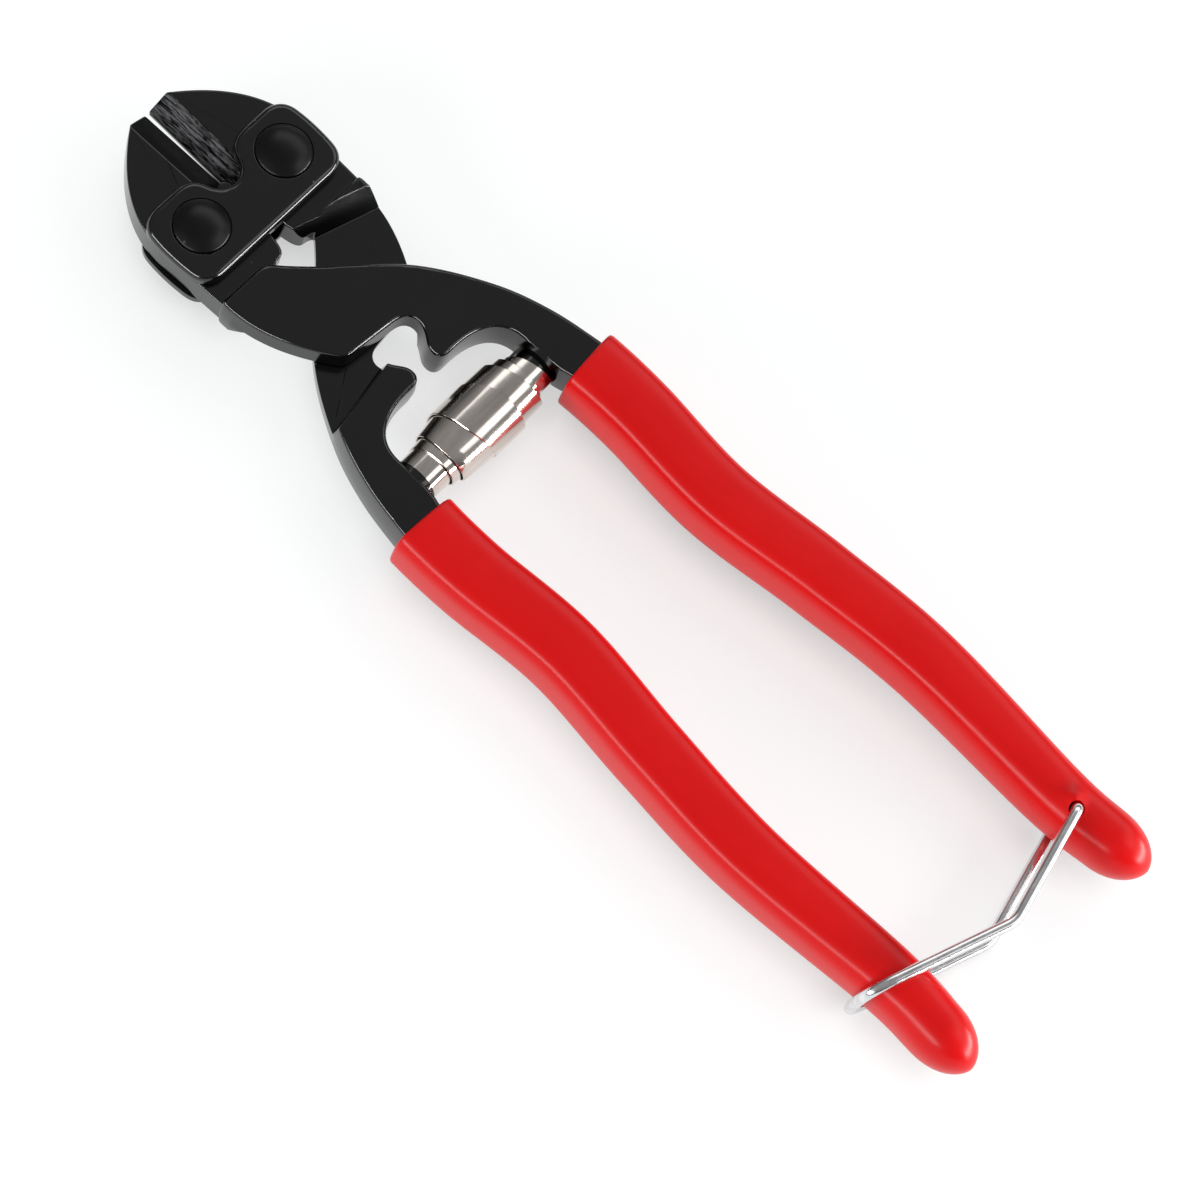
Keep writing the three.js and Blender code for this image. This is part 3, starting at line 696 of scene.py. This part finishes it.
def grip(name):
    """A dipped sleeve: from its tip along the outside, over the lip and back in along the tang."""
    around, outside, lip_rows, inside = 64, 190, 8, 40

    def squareness_at(x):
        towards_tip = min(1.0, max(0.0, (x - GRIP_START - 70) / (GRIP_LENGTH - 75)))
        return GRIP_SQUARENESS + (TIP_SQUARENESS - GRIP_SQUARENESS) * towards_tip

    def section(x, angle, half, height, squareness):
        point, across = handle_at(x)
        cos, sin = math.cos(angle), math.sin(angle)
        sideways = math.copysign(abs(cos) ** (2 / squareness), cos) * half
        up = math.copysign(abs(sin) ** (2 / squareness), sin) * height
        return (point.x + across.x * sideways, point.y + across.y * sideways, up)

    def place(row, column):
        angle = 2 * math.pi * column / around
        if row <= outside:
            share = 1 - row / outside
            x = GRIP_START + GRIP_LIP + (GRIP_LENGTH - GRIP_LIP) * (1 - (1 - share) ** 1.7)
            closing = grip_half(x) / grip_half_open(x)
            return section(x, angle, grip_half(x), GRIP_THICKNESS / 2 * closing, squareness_at(x))
        if row <= outside + lip_rows:
            bend = (row - outside) / lip_rows * math.pi / 2
            x = GRIP_START + GRIP_LIP * (1 - math.sin(bend))
            size = 0.93 + 0.07 * math.cos(bend)
            half, height = grip_half(x) * size, GRIP_THICKNESS / 2 * size
            return section(x, angle, half, height, GRIP_SQUARENESS)
        share = (row - outside - lip_rows - 1) / (inside - 1)
        x = GRIP_START + (TANG_END + CAVITY_PAST - GRIP_START) * share
        half = grip_half(min(x, TANG_END)) - GRIP_WALL + CAVITY_CLEARANCE
        closed = 0 if row == outside + lip_rows + inside + 1 else 1
        x = min(x, TANG_END + CAVITY_PAST)
        return section(x, angle, half * closed, CAVITY_HALF * closed, CAVITY_SQUARENESS)

    return skin(name, outside + lip_rows + inside + 1, around, place)


def swell(piece, x, y, radius, height):
    """The vinyl pushed up beside the hole for the wire."""
    for vertex in piece.data.vertices:
        if vertex.co.z > 0:
            away = ((vertex.co.x - x) ** 2 + (vertex.co.y - y) ** 2) / radius ** 2
            vertex.co.z += height * math.exp(-away)


# ---- Spring: one strip wound from the middle towards each end --------------------------------

# turn from the strip's middle, radius at the lower and the upper edge, lower edge, upper edge
SPRING_LINE = [
    (-3.6, 3.95, 4.0, -14.75, -9.9),
    (-3.0, 3.95, 4.0, -14.75, -9.4),
    (-2.5, 4.2, 4.55, -11.6, -6.8),
    (-2.25, 4.4, 4.8, -11.2, -6.2),
    (-2.0, 4.6, 5.0, -10.7, -5.6),
    (-1.5, 4.95, 5.6, -9.2, -5.0),
    (-1.25, 5.15, 5.8, -9.7, -3.4),
    (-1.0, 5.4, 6.05, -8.9, -1.6),
    (-0.5, 6.05, 6.15, -5.2, 1.5),
    (-0.25, 6.2, 6.25, -4.5, 4.6),
    (0.0, 6.3, 6.3, -1.8, 5.4),
    (0.5, 6.05, 5.85, 0.5, 7.4),
    (1.0, 5.75, 5.5, 2.4, 10.6),
    (1.5, 5.3, 4.95, 4.6, 10.4),
    (2.0, 4.9, 4.6, 6.2, 11.0),
    (2.5, 4.5, 4.2, 7.8, 11.4),
    (3.0, 4.0, 3.95, 9.2, 14.75),
    (3.6, 3.95, 3.9, 10.4, 14.75),
]
SPRING_RIM = 0.08
ROWS_PER_TURN = 80


def on_line(turn):
    """The two edges of the strip at a turn, as (radius, height) pairs."""
    for before, after in zip(SPRING_LINE, SPRING_LINE[1:]):
        if turn <= after[0]:
            share = max(0.0, (turn - before[0]) / (after[0] - before[0]))
            wide, narrow, low, high = (a + (b - a) * share for a, b in zip(before[1:], after[1:]))
            return Vector((wide, low)), Vector((narrow, high))


def spring_half(name, first, last):
    """The strip's section, carried round the axis."""
    rows = round(abs(last - first) * ROWS_PER_TURN) + 2
    half = SPRING_STRIP / 2
    # share of the strip's height, distance in from that edge, distance out from its middle
    section = [
        (0, SPRING_RIM, half), (0.33, 0, half), (0.66, 0, half), (1, -SPRING_RIM, half),
        (1, 0, half - SPRING_RIM), (1, 0, SPRING_RIM - half),
        (1, -SPRING_RIM, -half), (0.5, 0, -half), (0, SPRING_RIM, -half),
        (0, 0, SPRING_RIM - half), (0, 0, half - SPRING_RIM),
    ]

    def place(row, column):
        inside = min(max(row - 1, 0), rows - 2)
        turn = first + (last - first) * inside / (rows - 2)
        low, high = on_line(turn)
        share, inwards, out = section[column % len(section)]
        if row in (0, rows):
            share, inwards, out = 0.5, 0, 0     # a flat end to the strip
        radius, along = low.lerp(high, share)
        angle = -2 * math.pi * turn
        radius += out
        along += inwards
        return (SPRING_X + radius * math.cos(angle), along, radius * math.sin(angle))

    return skin(name, rows, len(section), place)


# ---- Latch wire ------------------------------------------------------------------------------

def rounded_path(corners, radii, steps=14):
    """Straight runs with a curve at each corner but the first and last."""
    corners = [Vector(c) for c in corners]
    points = [corners[0]]
    for i, radius in zip(range(1, len(corners) - 1), radii):
        corner = corners[i]
        back = (corners[i - 1] - corner).normalized()
        ahead = (corners[i + 1] - corner).normalized()
        cut = radius / math.tan(back.angle(ahead) / 2)
        start, end = corner + back * cut, corner + ahead * cut
        parts = max(2, int((start - points[-1]).length / 3))
        for _ in range(1, parts):       # each point covers an equal share of what is left
            points.append(points[-1].lerp(start, 1 / parts))
        points.append(start)
        points += bezier([start, corner, end], steps)
    points.append(corners[-1])
    return points


def from_hole(x, y, z):
    return (LATCH_X + x, LATCH_Y + y, z)


def latch_wire(name):
    """The bent wire: in at the front of the hole, round the other grip and back in behind."""
    hook_x = -LATCH_REACH * math.sin(math.radians(LATCH_SWEPT))
    hook_y = -LATCH_REACH * math.cos(math.radians(LATCH_SWEPT))
    top, low = LATCH_HEIGHT, KNEE_HEIGHT
    path = rounded_path([
        from_hole(0, 0, WIRE_END),
        from_hole(0, 0, top),
        from_hole(*KNEE, low),
        from_hole(hook_x, hook_y, top),
        from_hole(hook_x, hook_y, -top),
        from_hole(*KNEE, -low),
        from_hole(0, 0, -top),
        from_hole(0, 0, -WIRE_END),
    ], WIRE_BENDS)
    frames = []
    side = Vector((1, 0, 0))
    for i, point in enumerate(path):
        along = (path[min(i + 1, len(path) - 1)] - path[max(i - 1, 0)]).normalized()
        side = (side - along * side.dot(along)).normalized()
        frames.append((point, side, along.cross(side)))
    ends = [(0, 0.0), (0.72, 0.0), (0.93, 0.1), (1, 0.3)]      # share of the radius, way in

    def place(row, column):
        angle = 2 * math.pi * column / WIRE_SIDES
        last = len(path) - 1
        edge = len(ends)
        if row < edge:
            share, inward = ends[row]
            index, direction = 0, 1
        elif row > edge + last - 2:
            share, inward = ends[2 * edge + last - 2 - row]
            index, direction = last, -1
        else:
            share, inward, index, direction = 1, 0, row - edge + 1, 0
        point, side, up = frames[index]
        along = up.cross(side) * -1
        centre = point + along * inward * direction
        return centre + (side * math.cos(angle) + up * math.sin(angle)) * WIRE_RADIUS * share

    return skin(name, 2 * len(ends) + len(path) - 3, WIRE_SIDES, place)


# ---- Finishes --------------------------------------------------------------------------------

def node_group(name, inputs, outputs):
    group = bpy.data.node_groups.new(name, "ShaderNodeTree")
    for label, kind, value in inputs:
        socket = group.interface.new_socket(name=label, in_out="INPUT", socket_type=kind)
        if value is not None:
            socket.default_value = value
    for label, kind in outputs:
        group.interface.new_socket(name=label, in_out="OUTPUT", socket_type=kind)
    return group, group.nodes.new("NodeGroupInput"), group.nodes.new("NodeGroupOutput")


def surface_ripple():
    """A slow waviness and a fine grain as one bump: thick enamel, dipped vinyl, drawn wire."""
    group, given, out = node_group("Surface ripple", [
        ("Vector", "NodeSocketVector", None),
        ("Wave scale", "NodeSocketFloat", 200.0),
        ("Grain scale", "NodeSocketFloat", 2000.0),
        ("Wave depth", "NodeSocketFloat", 0.00002),
        ("Grain depth", "NodeSocketFloat", 0.000003),
    ], [("Normal", "NodeSocketVector")])
    wave = group.nodes.new("ShaderNodeTexNoise")
    grain = group.nodes.new("ShaderNodeTexNoise")
    deep = group.nodes.new("ShaderNodeMath")
    fine = group.nodes.new("ShaderNodeMath")
    height = group.nodes.new("ShaderNodeMath")
    bump = group.nodes.new("ShaderNodeBump")
    deep.operation = fine.operation = "MULTIPLY"
    wave.inputs["Detail"].default_value = 1.0
    bump.inputs["Distance"].default_value = 1.0
    link = group.links.new
    for texture, scale, scaled, depth in (
        (wave, "Wave scale", deep, "Wave depth"), (grain, "Grain scale", fine, "Grain depth"),
    ):
        link(given.outputs["Vector"], texture.inputs["Vector"])
        link(given.outputs[scale], texture.inputs["Scale"])
        link(texture.outputs["Fac"], scaled.inputs[0])
        link(given.outputs[depth], scaled.inputs[1])
    link(deep.outputs[0], height.inputs[0])
    link(fine.outputs[0], height.inputs[1])
    link(height.outputs[0], bump.inputs["Height"])
    link(bump.outputs["Normal"], out.inputs["Normal"])
    return group


def specks():
    """A mask of small scattered specks."""
    group, given, out = node_group("Specks", [
        ("Vector", "NodeSocketVector", None),
        ("Scale", "NodeSocketFloat", 500.0),
        ("Size", "NodeSocketFloat", 0.12),
        ("Share", "NodeSocketFloat", 0.1),
    ], [("Mask", "NodeSocketFloat")])
    cells = group.nodes.new("ShaderNodeTexVoronoi")
    pick_some = group.nodes.new("ShaderNodeSeparateColor")
    small = group.nodes.new("ShaderNodeMath")
    few = group.nodes.new("ShaderNodeMath")
    both = group.nodes.new("ShaderNodeMath")
    small.operation = few.operation = "LESS_THAN"
    both.operation = "MULTIPLY"
    link = group.links.new
    link(given.outputs["Vector"], cells.inputs["Vector"])
    link(given.outputs["Scale"], cells.inputs["Scale"])
    link(cells.outputs["Distance"], small.inputs[0])
    link(given.outputs["Size"], small.inputs[1])
    link(cells.outputs["Color"], pick_some.inputs["Color"])
    link(pick_some.outputs["Red"], few.inputs[0])
    link(given.outputs["Share"], few.inputs[1])
    link(small.outputs[0], both.inputs[0])
    link(few.outputs[0], both.inputs[1])
    link(both.outputs[0], out.inputs["Mask"])
    return group


def drawn_streaks():
    """Long marks along one direction, as a value from 0 to 1."""
    group, given, out = node_group("Drawn streaks", [
        ("Vector", "NodeSocketVector", None),
        ("Stretch", "NodeSocketVector", (1.0, 1.0, 1.0)),
        ("Scale", "NodeSocketFloat", 1000.0),
        ("Waviness", "NodeSocketFloat", 0.5),
        ("Softness", "NodeSocketFloat", 0.3),
    ], [("Streaks", "NodeSocketFloat")])
    stretch = group.nodes.new("ShaderNodeVectorMath")
    stretch.operation = "MULTIPLY"
    marks = group.nodes.new("ShaderNodeTexNoise")
    marks.inputs["Detail"].default_value = 4.0
    marks.inputs["Roughness"].default_value = 0.65
    link = group.links.new
    link(given.outputs["Vector"], stretch.inputs[0])
    link(given.outputs["Stretch"], stretch.inputs[1])
    link(stretch.outputs[0], marks.inputs["Vector"])
    link(given.outputs["Scale"], marks.inputs["Scale"])
    link(given.outputs["Waviness"], marks.inputs["Distortion"])
    below = group.nodes.new("ShaderNodeMath")
    above = group.nodes.new("ShaderNodeMath")
    below.operation, above.operation = "SUBTRACT", "ADD"
    below.inputs[0].default_value = above.inputs[0].default_value = 0.5
    contrast = group.nodes.new("ShaderNodeMapRange")
    link(given.outputs["Softness"], below.inputs[1])
    link(given.outputs["Softness"], above.inputs[1])
    link(below.outputs[0], contrast.inputs["From Min"])
    link(above.outputs[0], contrast.inputs["From Max"])
    link(marks.outputs["Fac"], contrast.inputs["Value"])
    link(contrast.outputs["Result"], out.inputs["Streaks"])
    return group


RIPPLE = surface_ripple()
SPECKS = specks()
STREAKS = drawn_streaks()


def new_material(name, **settings):
    """A material with its Principled shader set, and the object's own coordinates."""
    material = bpy.data.materials.new(name)
    material.use_nodes = True
    shader = material.node_tree.nodes["Principled BSDF"]
    for key, value in settings.items():
        shader.inputs[key.replace("_", " ")].default_value = value
    place = material.node_tree.nodes.new("ShaderNodeTexCoord")
    return material, shader, place.outputs["Object"]


def grouped(material, group, where, **values):
    node = material.node_tree.nodes.new("ShaderNodeGroup")
    node.node_tree = group
    for key, value in values.items():
        node.inputs[key.replace("_", " ")].default_value = value
    material.node_tree.links.new(where, node.inputs["Vector"])
    return node


def between(material, factor, low, high, socket):
    """Drives a colour or a value from `low` to `high` by a factor."""
    tree = material.node_tree
    if isinstance(low, tuple):
        mix = tree.nodes.new("ShaderNodeMix")
        mix.data_type = "RGBA"
        mix.inputs["A"].default_value = (*low, 1)
        mix.inputs["B"].default_value = (*high, 1)
        tree.links.new(factor, mix.inputs["Factor"])
        tree.links.new(mix.outputs["Result"], socket)
    else:
        scaled = tree.nodes.new("ShaderNodeMapRange")
        scaled.inputs["To Min"].default_value = low
        scaled.inputs["To Max"].default_value = high
        tree.links.new(factor, scaled.inputs["Value"])
        tree.links.new(scaled.outputs["Result"], socket)


def black_enamel(name, specular, smooth, rough):
    material, shader, where = new_material(name, Specular_IOR_Level=specular)
    link = material.node_tree.links.new
    ripple = grouped(material, RIPPLE, where, Wave_scale=260.0, Wave_depth=0.000012,
                     Grain_scale=2600.0, Grain_depth=0.0000014)
    link(ripple.outputs["Normal"], shader.inputs["Normal"])
    dust = grouped(material, SPECKS, where, Scale=420.0, Size=0.1, Share=0.07)
    between(material, dust.outputs["Mask"], (0.0015, 0.0015, 0.0016), (0.05, 0.05, 0.052),
            shader.inputs["Base Color"])
    cloud = grouped(material, STREAKS, where, Scale=90.0, Waviness=0.4)
    between(material, cloud.outputs["Streaks"], smooth, rough, shader.inputs["Roughness"])
    return material


def ground_steel():
    material, shader, where = new_material("Ground steel", Metallic=1.0)
    link = material.node_tree.links.new
    marks = grouped(material, STREAKS, where, Scale=420.0, Waviness=0.9, Softness=0.08,
                    Stretch=(0.7, 6.0, 6.0))
    between(material, marks.outputs["Streaks"], (0.004, 0.004, 0.005), (0.15, 0.15, 0.155),
            shader.inputs["Base Color"])
    between(material, marks.outputs["Streaks"], 0.28, 0.42, shader.inputs["Roughness"])
    bump = material.node_tree.nodes.new("ShaderNodeBump")
    bump.inputs["Distance"].default_value = 0.00008
    link(marks.outputs["Streaks"], bump.inputs["Height"])
    link(bump.outputs["Normal"], shader.inputs["Normal"])
    return material


def red_vinyl():
    material, shader, where = new_material("Red dipped vinyl", Specular_IOR_Level=0.26)
    link = material.node_tree.links.new
    ripple = grouped(material, RIPPLE, where, Wave_scale=110.0, Wave_depth=0.00003,
                     Grain_scale=1800.0, Grain_depth=0.0000012)
    link(ripple.outputs["Normal"], shader.inputs["Normal"])
    cloud = grouped(material, STREAKS, where, Scale=60.0, Waviness=0.3)
    between(material, cloud.outputs["Streaks"], (0.7, 0.003, 0.004), (0.76, 0.004, 0.005),
            shader.inputs["Base Color"])
    between(material, cloud.outputs["Streaks"], 0.28, 0.36, shader.inputs["Roughness"])
    return material


def polished_nickel():
    material, shader, where = new_material("Polished nickel", Metallic=1.0)
    link = material.node_tree.links.new
    # The base colour runs in long light and dark bands along the spring's axis: painted reflection
    # bands over nickel's own warm tone, and the roughness follows them.
    marks = grouped(material, STREAKS, where, Scale=420.0, Waviness=0.1, Stretch=(1.0, 0.15, 1.0))
    between(material, marks.outputs["Streaks"], (0.56, 0.5, 0.45), (0.84, 0.79, 0.74),
            shader.inputs["Base Color"])
    between(material, marks.outputs["Streaks"], 0.08, 0.2, shader.inputs["Roughness"])
    ripple = grouped(material, RIPPLE, where, Wave_scale=330.0, Wave_depth=0.000012,
                     Grain_scale=2600.0, Grain_depth=0.0000006)
    link(ripple.outputs["Normal"], shader.inputs["Normal"])
    return material


def bright_wire():
    material, shader, where = new_material("Bright wire", Metallic=1.0)
    link = material.node_tree.links.new
    marks = grouped(material, STREAKS, where, Scale=700.0, Waviness=0.2, Stretch=(1.0, 0.3, 1.0))
    between(material, marks.outputs["Streaks"], (0.6, 0.6, 0.61), (0.86, 0.86, 0.87),
            shader.inputs["Base Color"])
    between(material, marks.outputs["Streaks"], 0.14, 0.3, shader.inputs["Roughness"])
    ripple = grouped(material, RIPPLE, where, Wave_scale=500.0, Wave_depth=0.000008)
    link(ripple.outputs["Normal"], shader.inputs["Normal"])
    return material


ENAMEL = black_enamel("Black enamel", 0.62, 0.12, 0.18)
RIVET_ENAMEL = black_enamel("Black enamel on the rivets", 0.27, 0.3, 0.36)
GROUND = ground_steel()
VINYL = red_vinyl()
NICKEL = polished_nickel()
WIRE = bright_wire()


# ---- Making the pieces -----------------------------------------------------------------------

TURN_OVER = Matrix.Rotation(math.pi, 4, "X")
GROUND_SLOPE = Vector((0, -0.51, 0.86))     # which way the front ground slope faces

lever_a = forged_lever("forged_lever_a", (-TOOTH_ANGLE, TOOTH_ANGLE), (0,))
joined(lever_a, round_bar("bore", LATCH_X, LATCH_Y, WIRE_HOLE, -THROUGH, THROUGH), "DIFFERENCE")
lever_b = forged_lever("forged_lever_b", (0,), (-TOOTH_ANGLE, TOOTH_ANGLE))
turned(lever_b, TURN_OVER)      # now its ground slope is at the front, on the +y jaw
for piece, body, side in ((lever_a, "lever_a", -1), (lever_b, "lever_b", 1)):
    slope = GROUND_SLOPE * side
    for face in piece.data.polygons:
        if face.normal.dot(slope) > 0.99 and face.center.x < GROUND_END:
            face.material_index = 1
    settle(piece, body, body, (ENAMEL, GROUND), flats=True)

front_plate = front_side_plate("side_plate_front")
rear_plate = turned(copied(front_plate, "side_plate_rear"), TURN_OVER)
settle(front_plate, "head", "front_plate", (ENAMEL,), flats=True)
settle(rear_plate, "head", "rear_plate", (ENAMEL,), flats=True)
settle(rivet("rivet_low", -PIVOT_OFFSET), "head", "rivet_a", (RIVET_ENAMEL,))
settle(rivet("rivet_high", PIVOT_OFFSET), "head", "rivet_b", (RIVET_ENAMEL,))

grip_a = grip("dipped_grip_a")
grip_b = turned(copied(grip_a, "dipped_grip_b"), TURN_OVER)
swell(grip_a, SWELL_X, SWELL_Y, SWELL_RADIUS, SWELL_HEIGHT)
joined(grip_a, round_bar("bore", LATCH_X, LATCH_Y, WIRE_HOLE, -THROUGH, THROUGH), "DIFFERENCE")
settle(grip_a, "lever_a", "grip_a", (VINYL,))
settle(grip_b, "lever_b", "grip_b", (VINYL,))

settle(latch_wire("bail_wire"), "latch", "latch_wire", (WIRE,))

for name, first, last, lever, side in (
    ("spring_lower", SPRING_LINE[0][0], 0, "lever_b", -1),
    ("spring_upper", 0, SPRING_LINE[-1][0], "lever_a", 1),
):
    half = settle(spring_half(name, first, last), None, None, (NICKEL,), 40)
    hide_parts("spring")
    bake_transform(half)


# ---- Studio ----------------------------------------------------------------------------------

FLOOR_Z = -0.0034
MIDDLE_X = 0.08
AIM = Vector((MIDDLE_X, 0.0, 0.006))
PAINTED_SHADOW_REACH = 0.008        # the floor's glow is dimmed this close to the tool, a painted contact shadow
PAINTED_SHADOW_SAMPLES = 6
CAMERA_LENS = 124.859
CAMERA_PLACE = (0.139757, -0.250372, 0.645338)
CAMERA_TURN = (18.11715, -11.11308, 42.11655)       # degrees


def floor():
    """Pale paper that glows in the camera and in mirrors; near the tool its glow is dimmed, a painted
    shadow.
    """
    deselect()
    bpy.ops.mesh.primitive_plane_add(size=6, location=(MIDDLE_X, 0, FLOOR_Z))
    sheet = bpy.context.object
    sheet.name = "floor"
    material = bpy.data.materials.new("White paper")
    material.use_nodes = True
    tree = material.node_tree
    shader = tree.nodes["Principled BSDF"]
    shader.inputs["Base Color"].default_value = (0.38, 0.41, 0.41, 1)
    shader.inputs["Roughness"].default_value = 1.0
    shader.inputs["Specular IOR Level"].default_value = 0.0
    path = tree.nodes.new("ShaderNodeLightPath")
    seen = tree.nodes.new("ShaderNodeMath")
    seen.operation = "MAXIMUM"
    tree.links.new(path.outputs["Is Camera Ray"], seen.inputs[0])
    tree.links.new(path.outputs["Is Glossy Ray"], seen.inputs[1])
    # Ambient occlusion dims the floor's glow beside the tool: a painted contact shadow, which mirrors
    # show too.
    painted_shadow_ao = tree.nodes.new("ShaderNodeAmbientOcclusion")
    painted_shadow_ao.samples = PAINTED_SHADOW_SAMPLES
    painted_shadow_ao.inputs["Distance"].default_value = PAINTED_SHADOW_REACH
    painted_shadow = tree.nodes.new("ShaderNodeMapRange")
    painted_shadow.inputs["From Min"].default_value = 0.25
    painted_shadow.inputs["From Max"].default_value = 0.8
    painted_shadow.inputs["To Min"].default_value = 0.45
    painted_shadow.inputs["To Max"].default_value = 0.72
    tree.links.new(painted_shadow_ao.outputs["AO"], painted_shadow.inputs["Value"])
    glow = tree.nodes.new("ShaderNodeMath")
    glow.operation = "MULTIPLY"
    shader.inputs["Emission Color"].default_value = (1, 1, 1, 1)
    tree.links.new(seen.outputs[0], glow.inputs[0])
    tree.links.new(painted_shadow.outputs["Result"], glow.inputs[1])
    tree.links.new(glow.outputs[0], shader.inputs["Emission Strength"])
    sheet.data.materials.append(material)


def softbox(name, azimuth, elevation, distance, width, height, power):
    """A soft lamp aimed at the tool. Azimuth runs from +x towards +y."""
    a, e = math.radians(azimuth), math.radians(elevation)
    out = Vector((math.cos(a) * math.cos(e), math.sin(a) * math.cos(e), math.sin(e)))
    data = bpy.data.lights.new(name, "AREA")
    data.shape = "RECTANGLE"
    data.size, data.size_y = width, height
    data.energy = power
    lamp = bpy.data.objects.new(name, data)
    lamp.location = AIM + out * distance
    lamp.rotation_mode = "QUATERNION"
    lamp.rotation_quaternion = (-out).to_track_quat("-Z", "Y")
    bpy.context.scene.collection.objects.link(lamp)


def surroundings():
    """A studio room: an even pale ceiling over darker walls."""
    world = bpy.data.worlds.new("Studio")
    bpy.context.scene.world = world
    world.use_nodes = True
    tree = world.node_tree
    background = tree.nodes["Background"]
    place = tree.nodes.new("ShaderNodeTexCoord")
    parts = tree.nodes.new("ShaderNodeSeparateXYZ")
    ramp = tree.nodes.new("ShaderNodeValToRGB")
    ramp.color_ramp.elements[0].position = 0.15
    ramp.color_ramp.elements[0].color = (0.1, 0.1, 0.1, 1)
    ramp.color_ramp.elements[1].position = 0.62
    ramp.color_ramp.elements[1].color = (0.3, 0.3, 0.3, 1)
    tree.links.new(place.outputs["Generated"], parts.inputs[0])
    tree.links.new(parts.outputs["Z"], ramp.inputs[0])
    tree.links.new(ramp.outputs["Color"], background.inputs["Color"])


def camera():
    data = bpy.data.cameras.new("camera")
    data.sensor_width = 36
    data.lens = CAMERA_LENS
    data.clip_start, data.clip_end = 0.01, 20
    viewer = bpy.data.objects.new("camera", data)
    viewer.location = CAMERA_PLACE
    viewer.rotation_euler = [math.radians(a) for a in CAMERA_TURN]
    bpy.context.scene.collection.objects.link(viewer)
    bpy.context.scene.camera = viewer


floor()
# azimuth, elevation, distance, width, height, power
softbox("key", 105, 40, 1.1, 1.6, 0.6, 3.8)
softbox("front strip", -100, 20, 0.9, 1.0, 0.12, 6.8)
softbox("right", 33, 46, 0.9, 0.5, 0.3, 0.75)
softbox("right strip", 25, 9, 0.9, 0.8, 0.13, 9.5)
surroundings()
camera()
bpy.context.scene.view_settings.view_transform = "Standard"
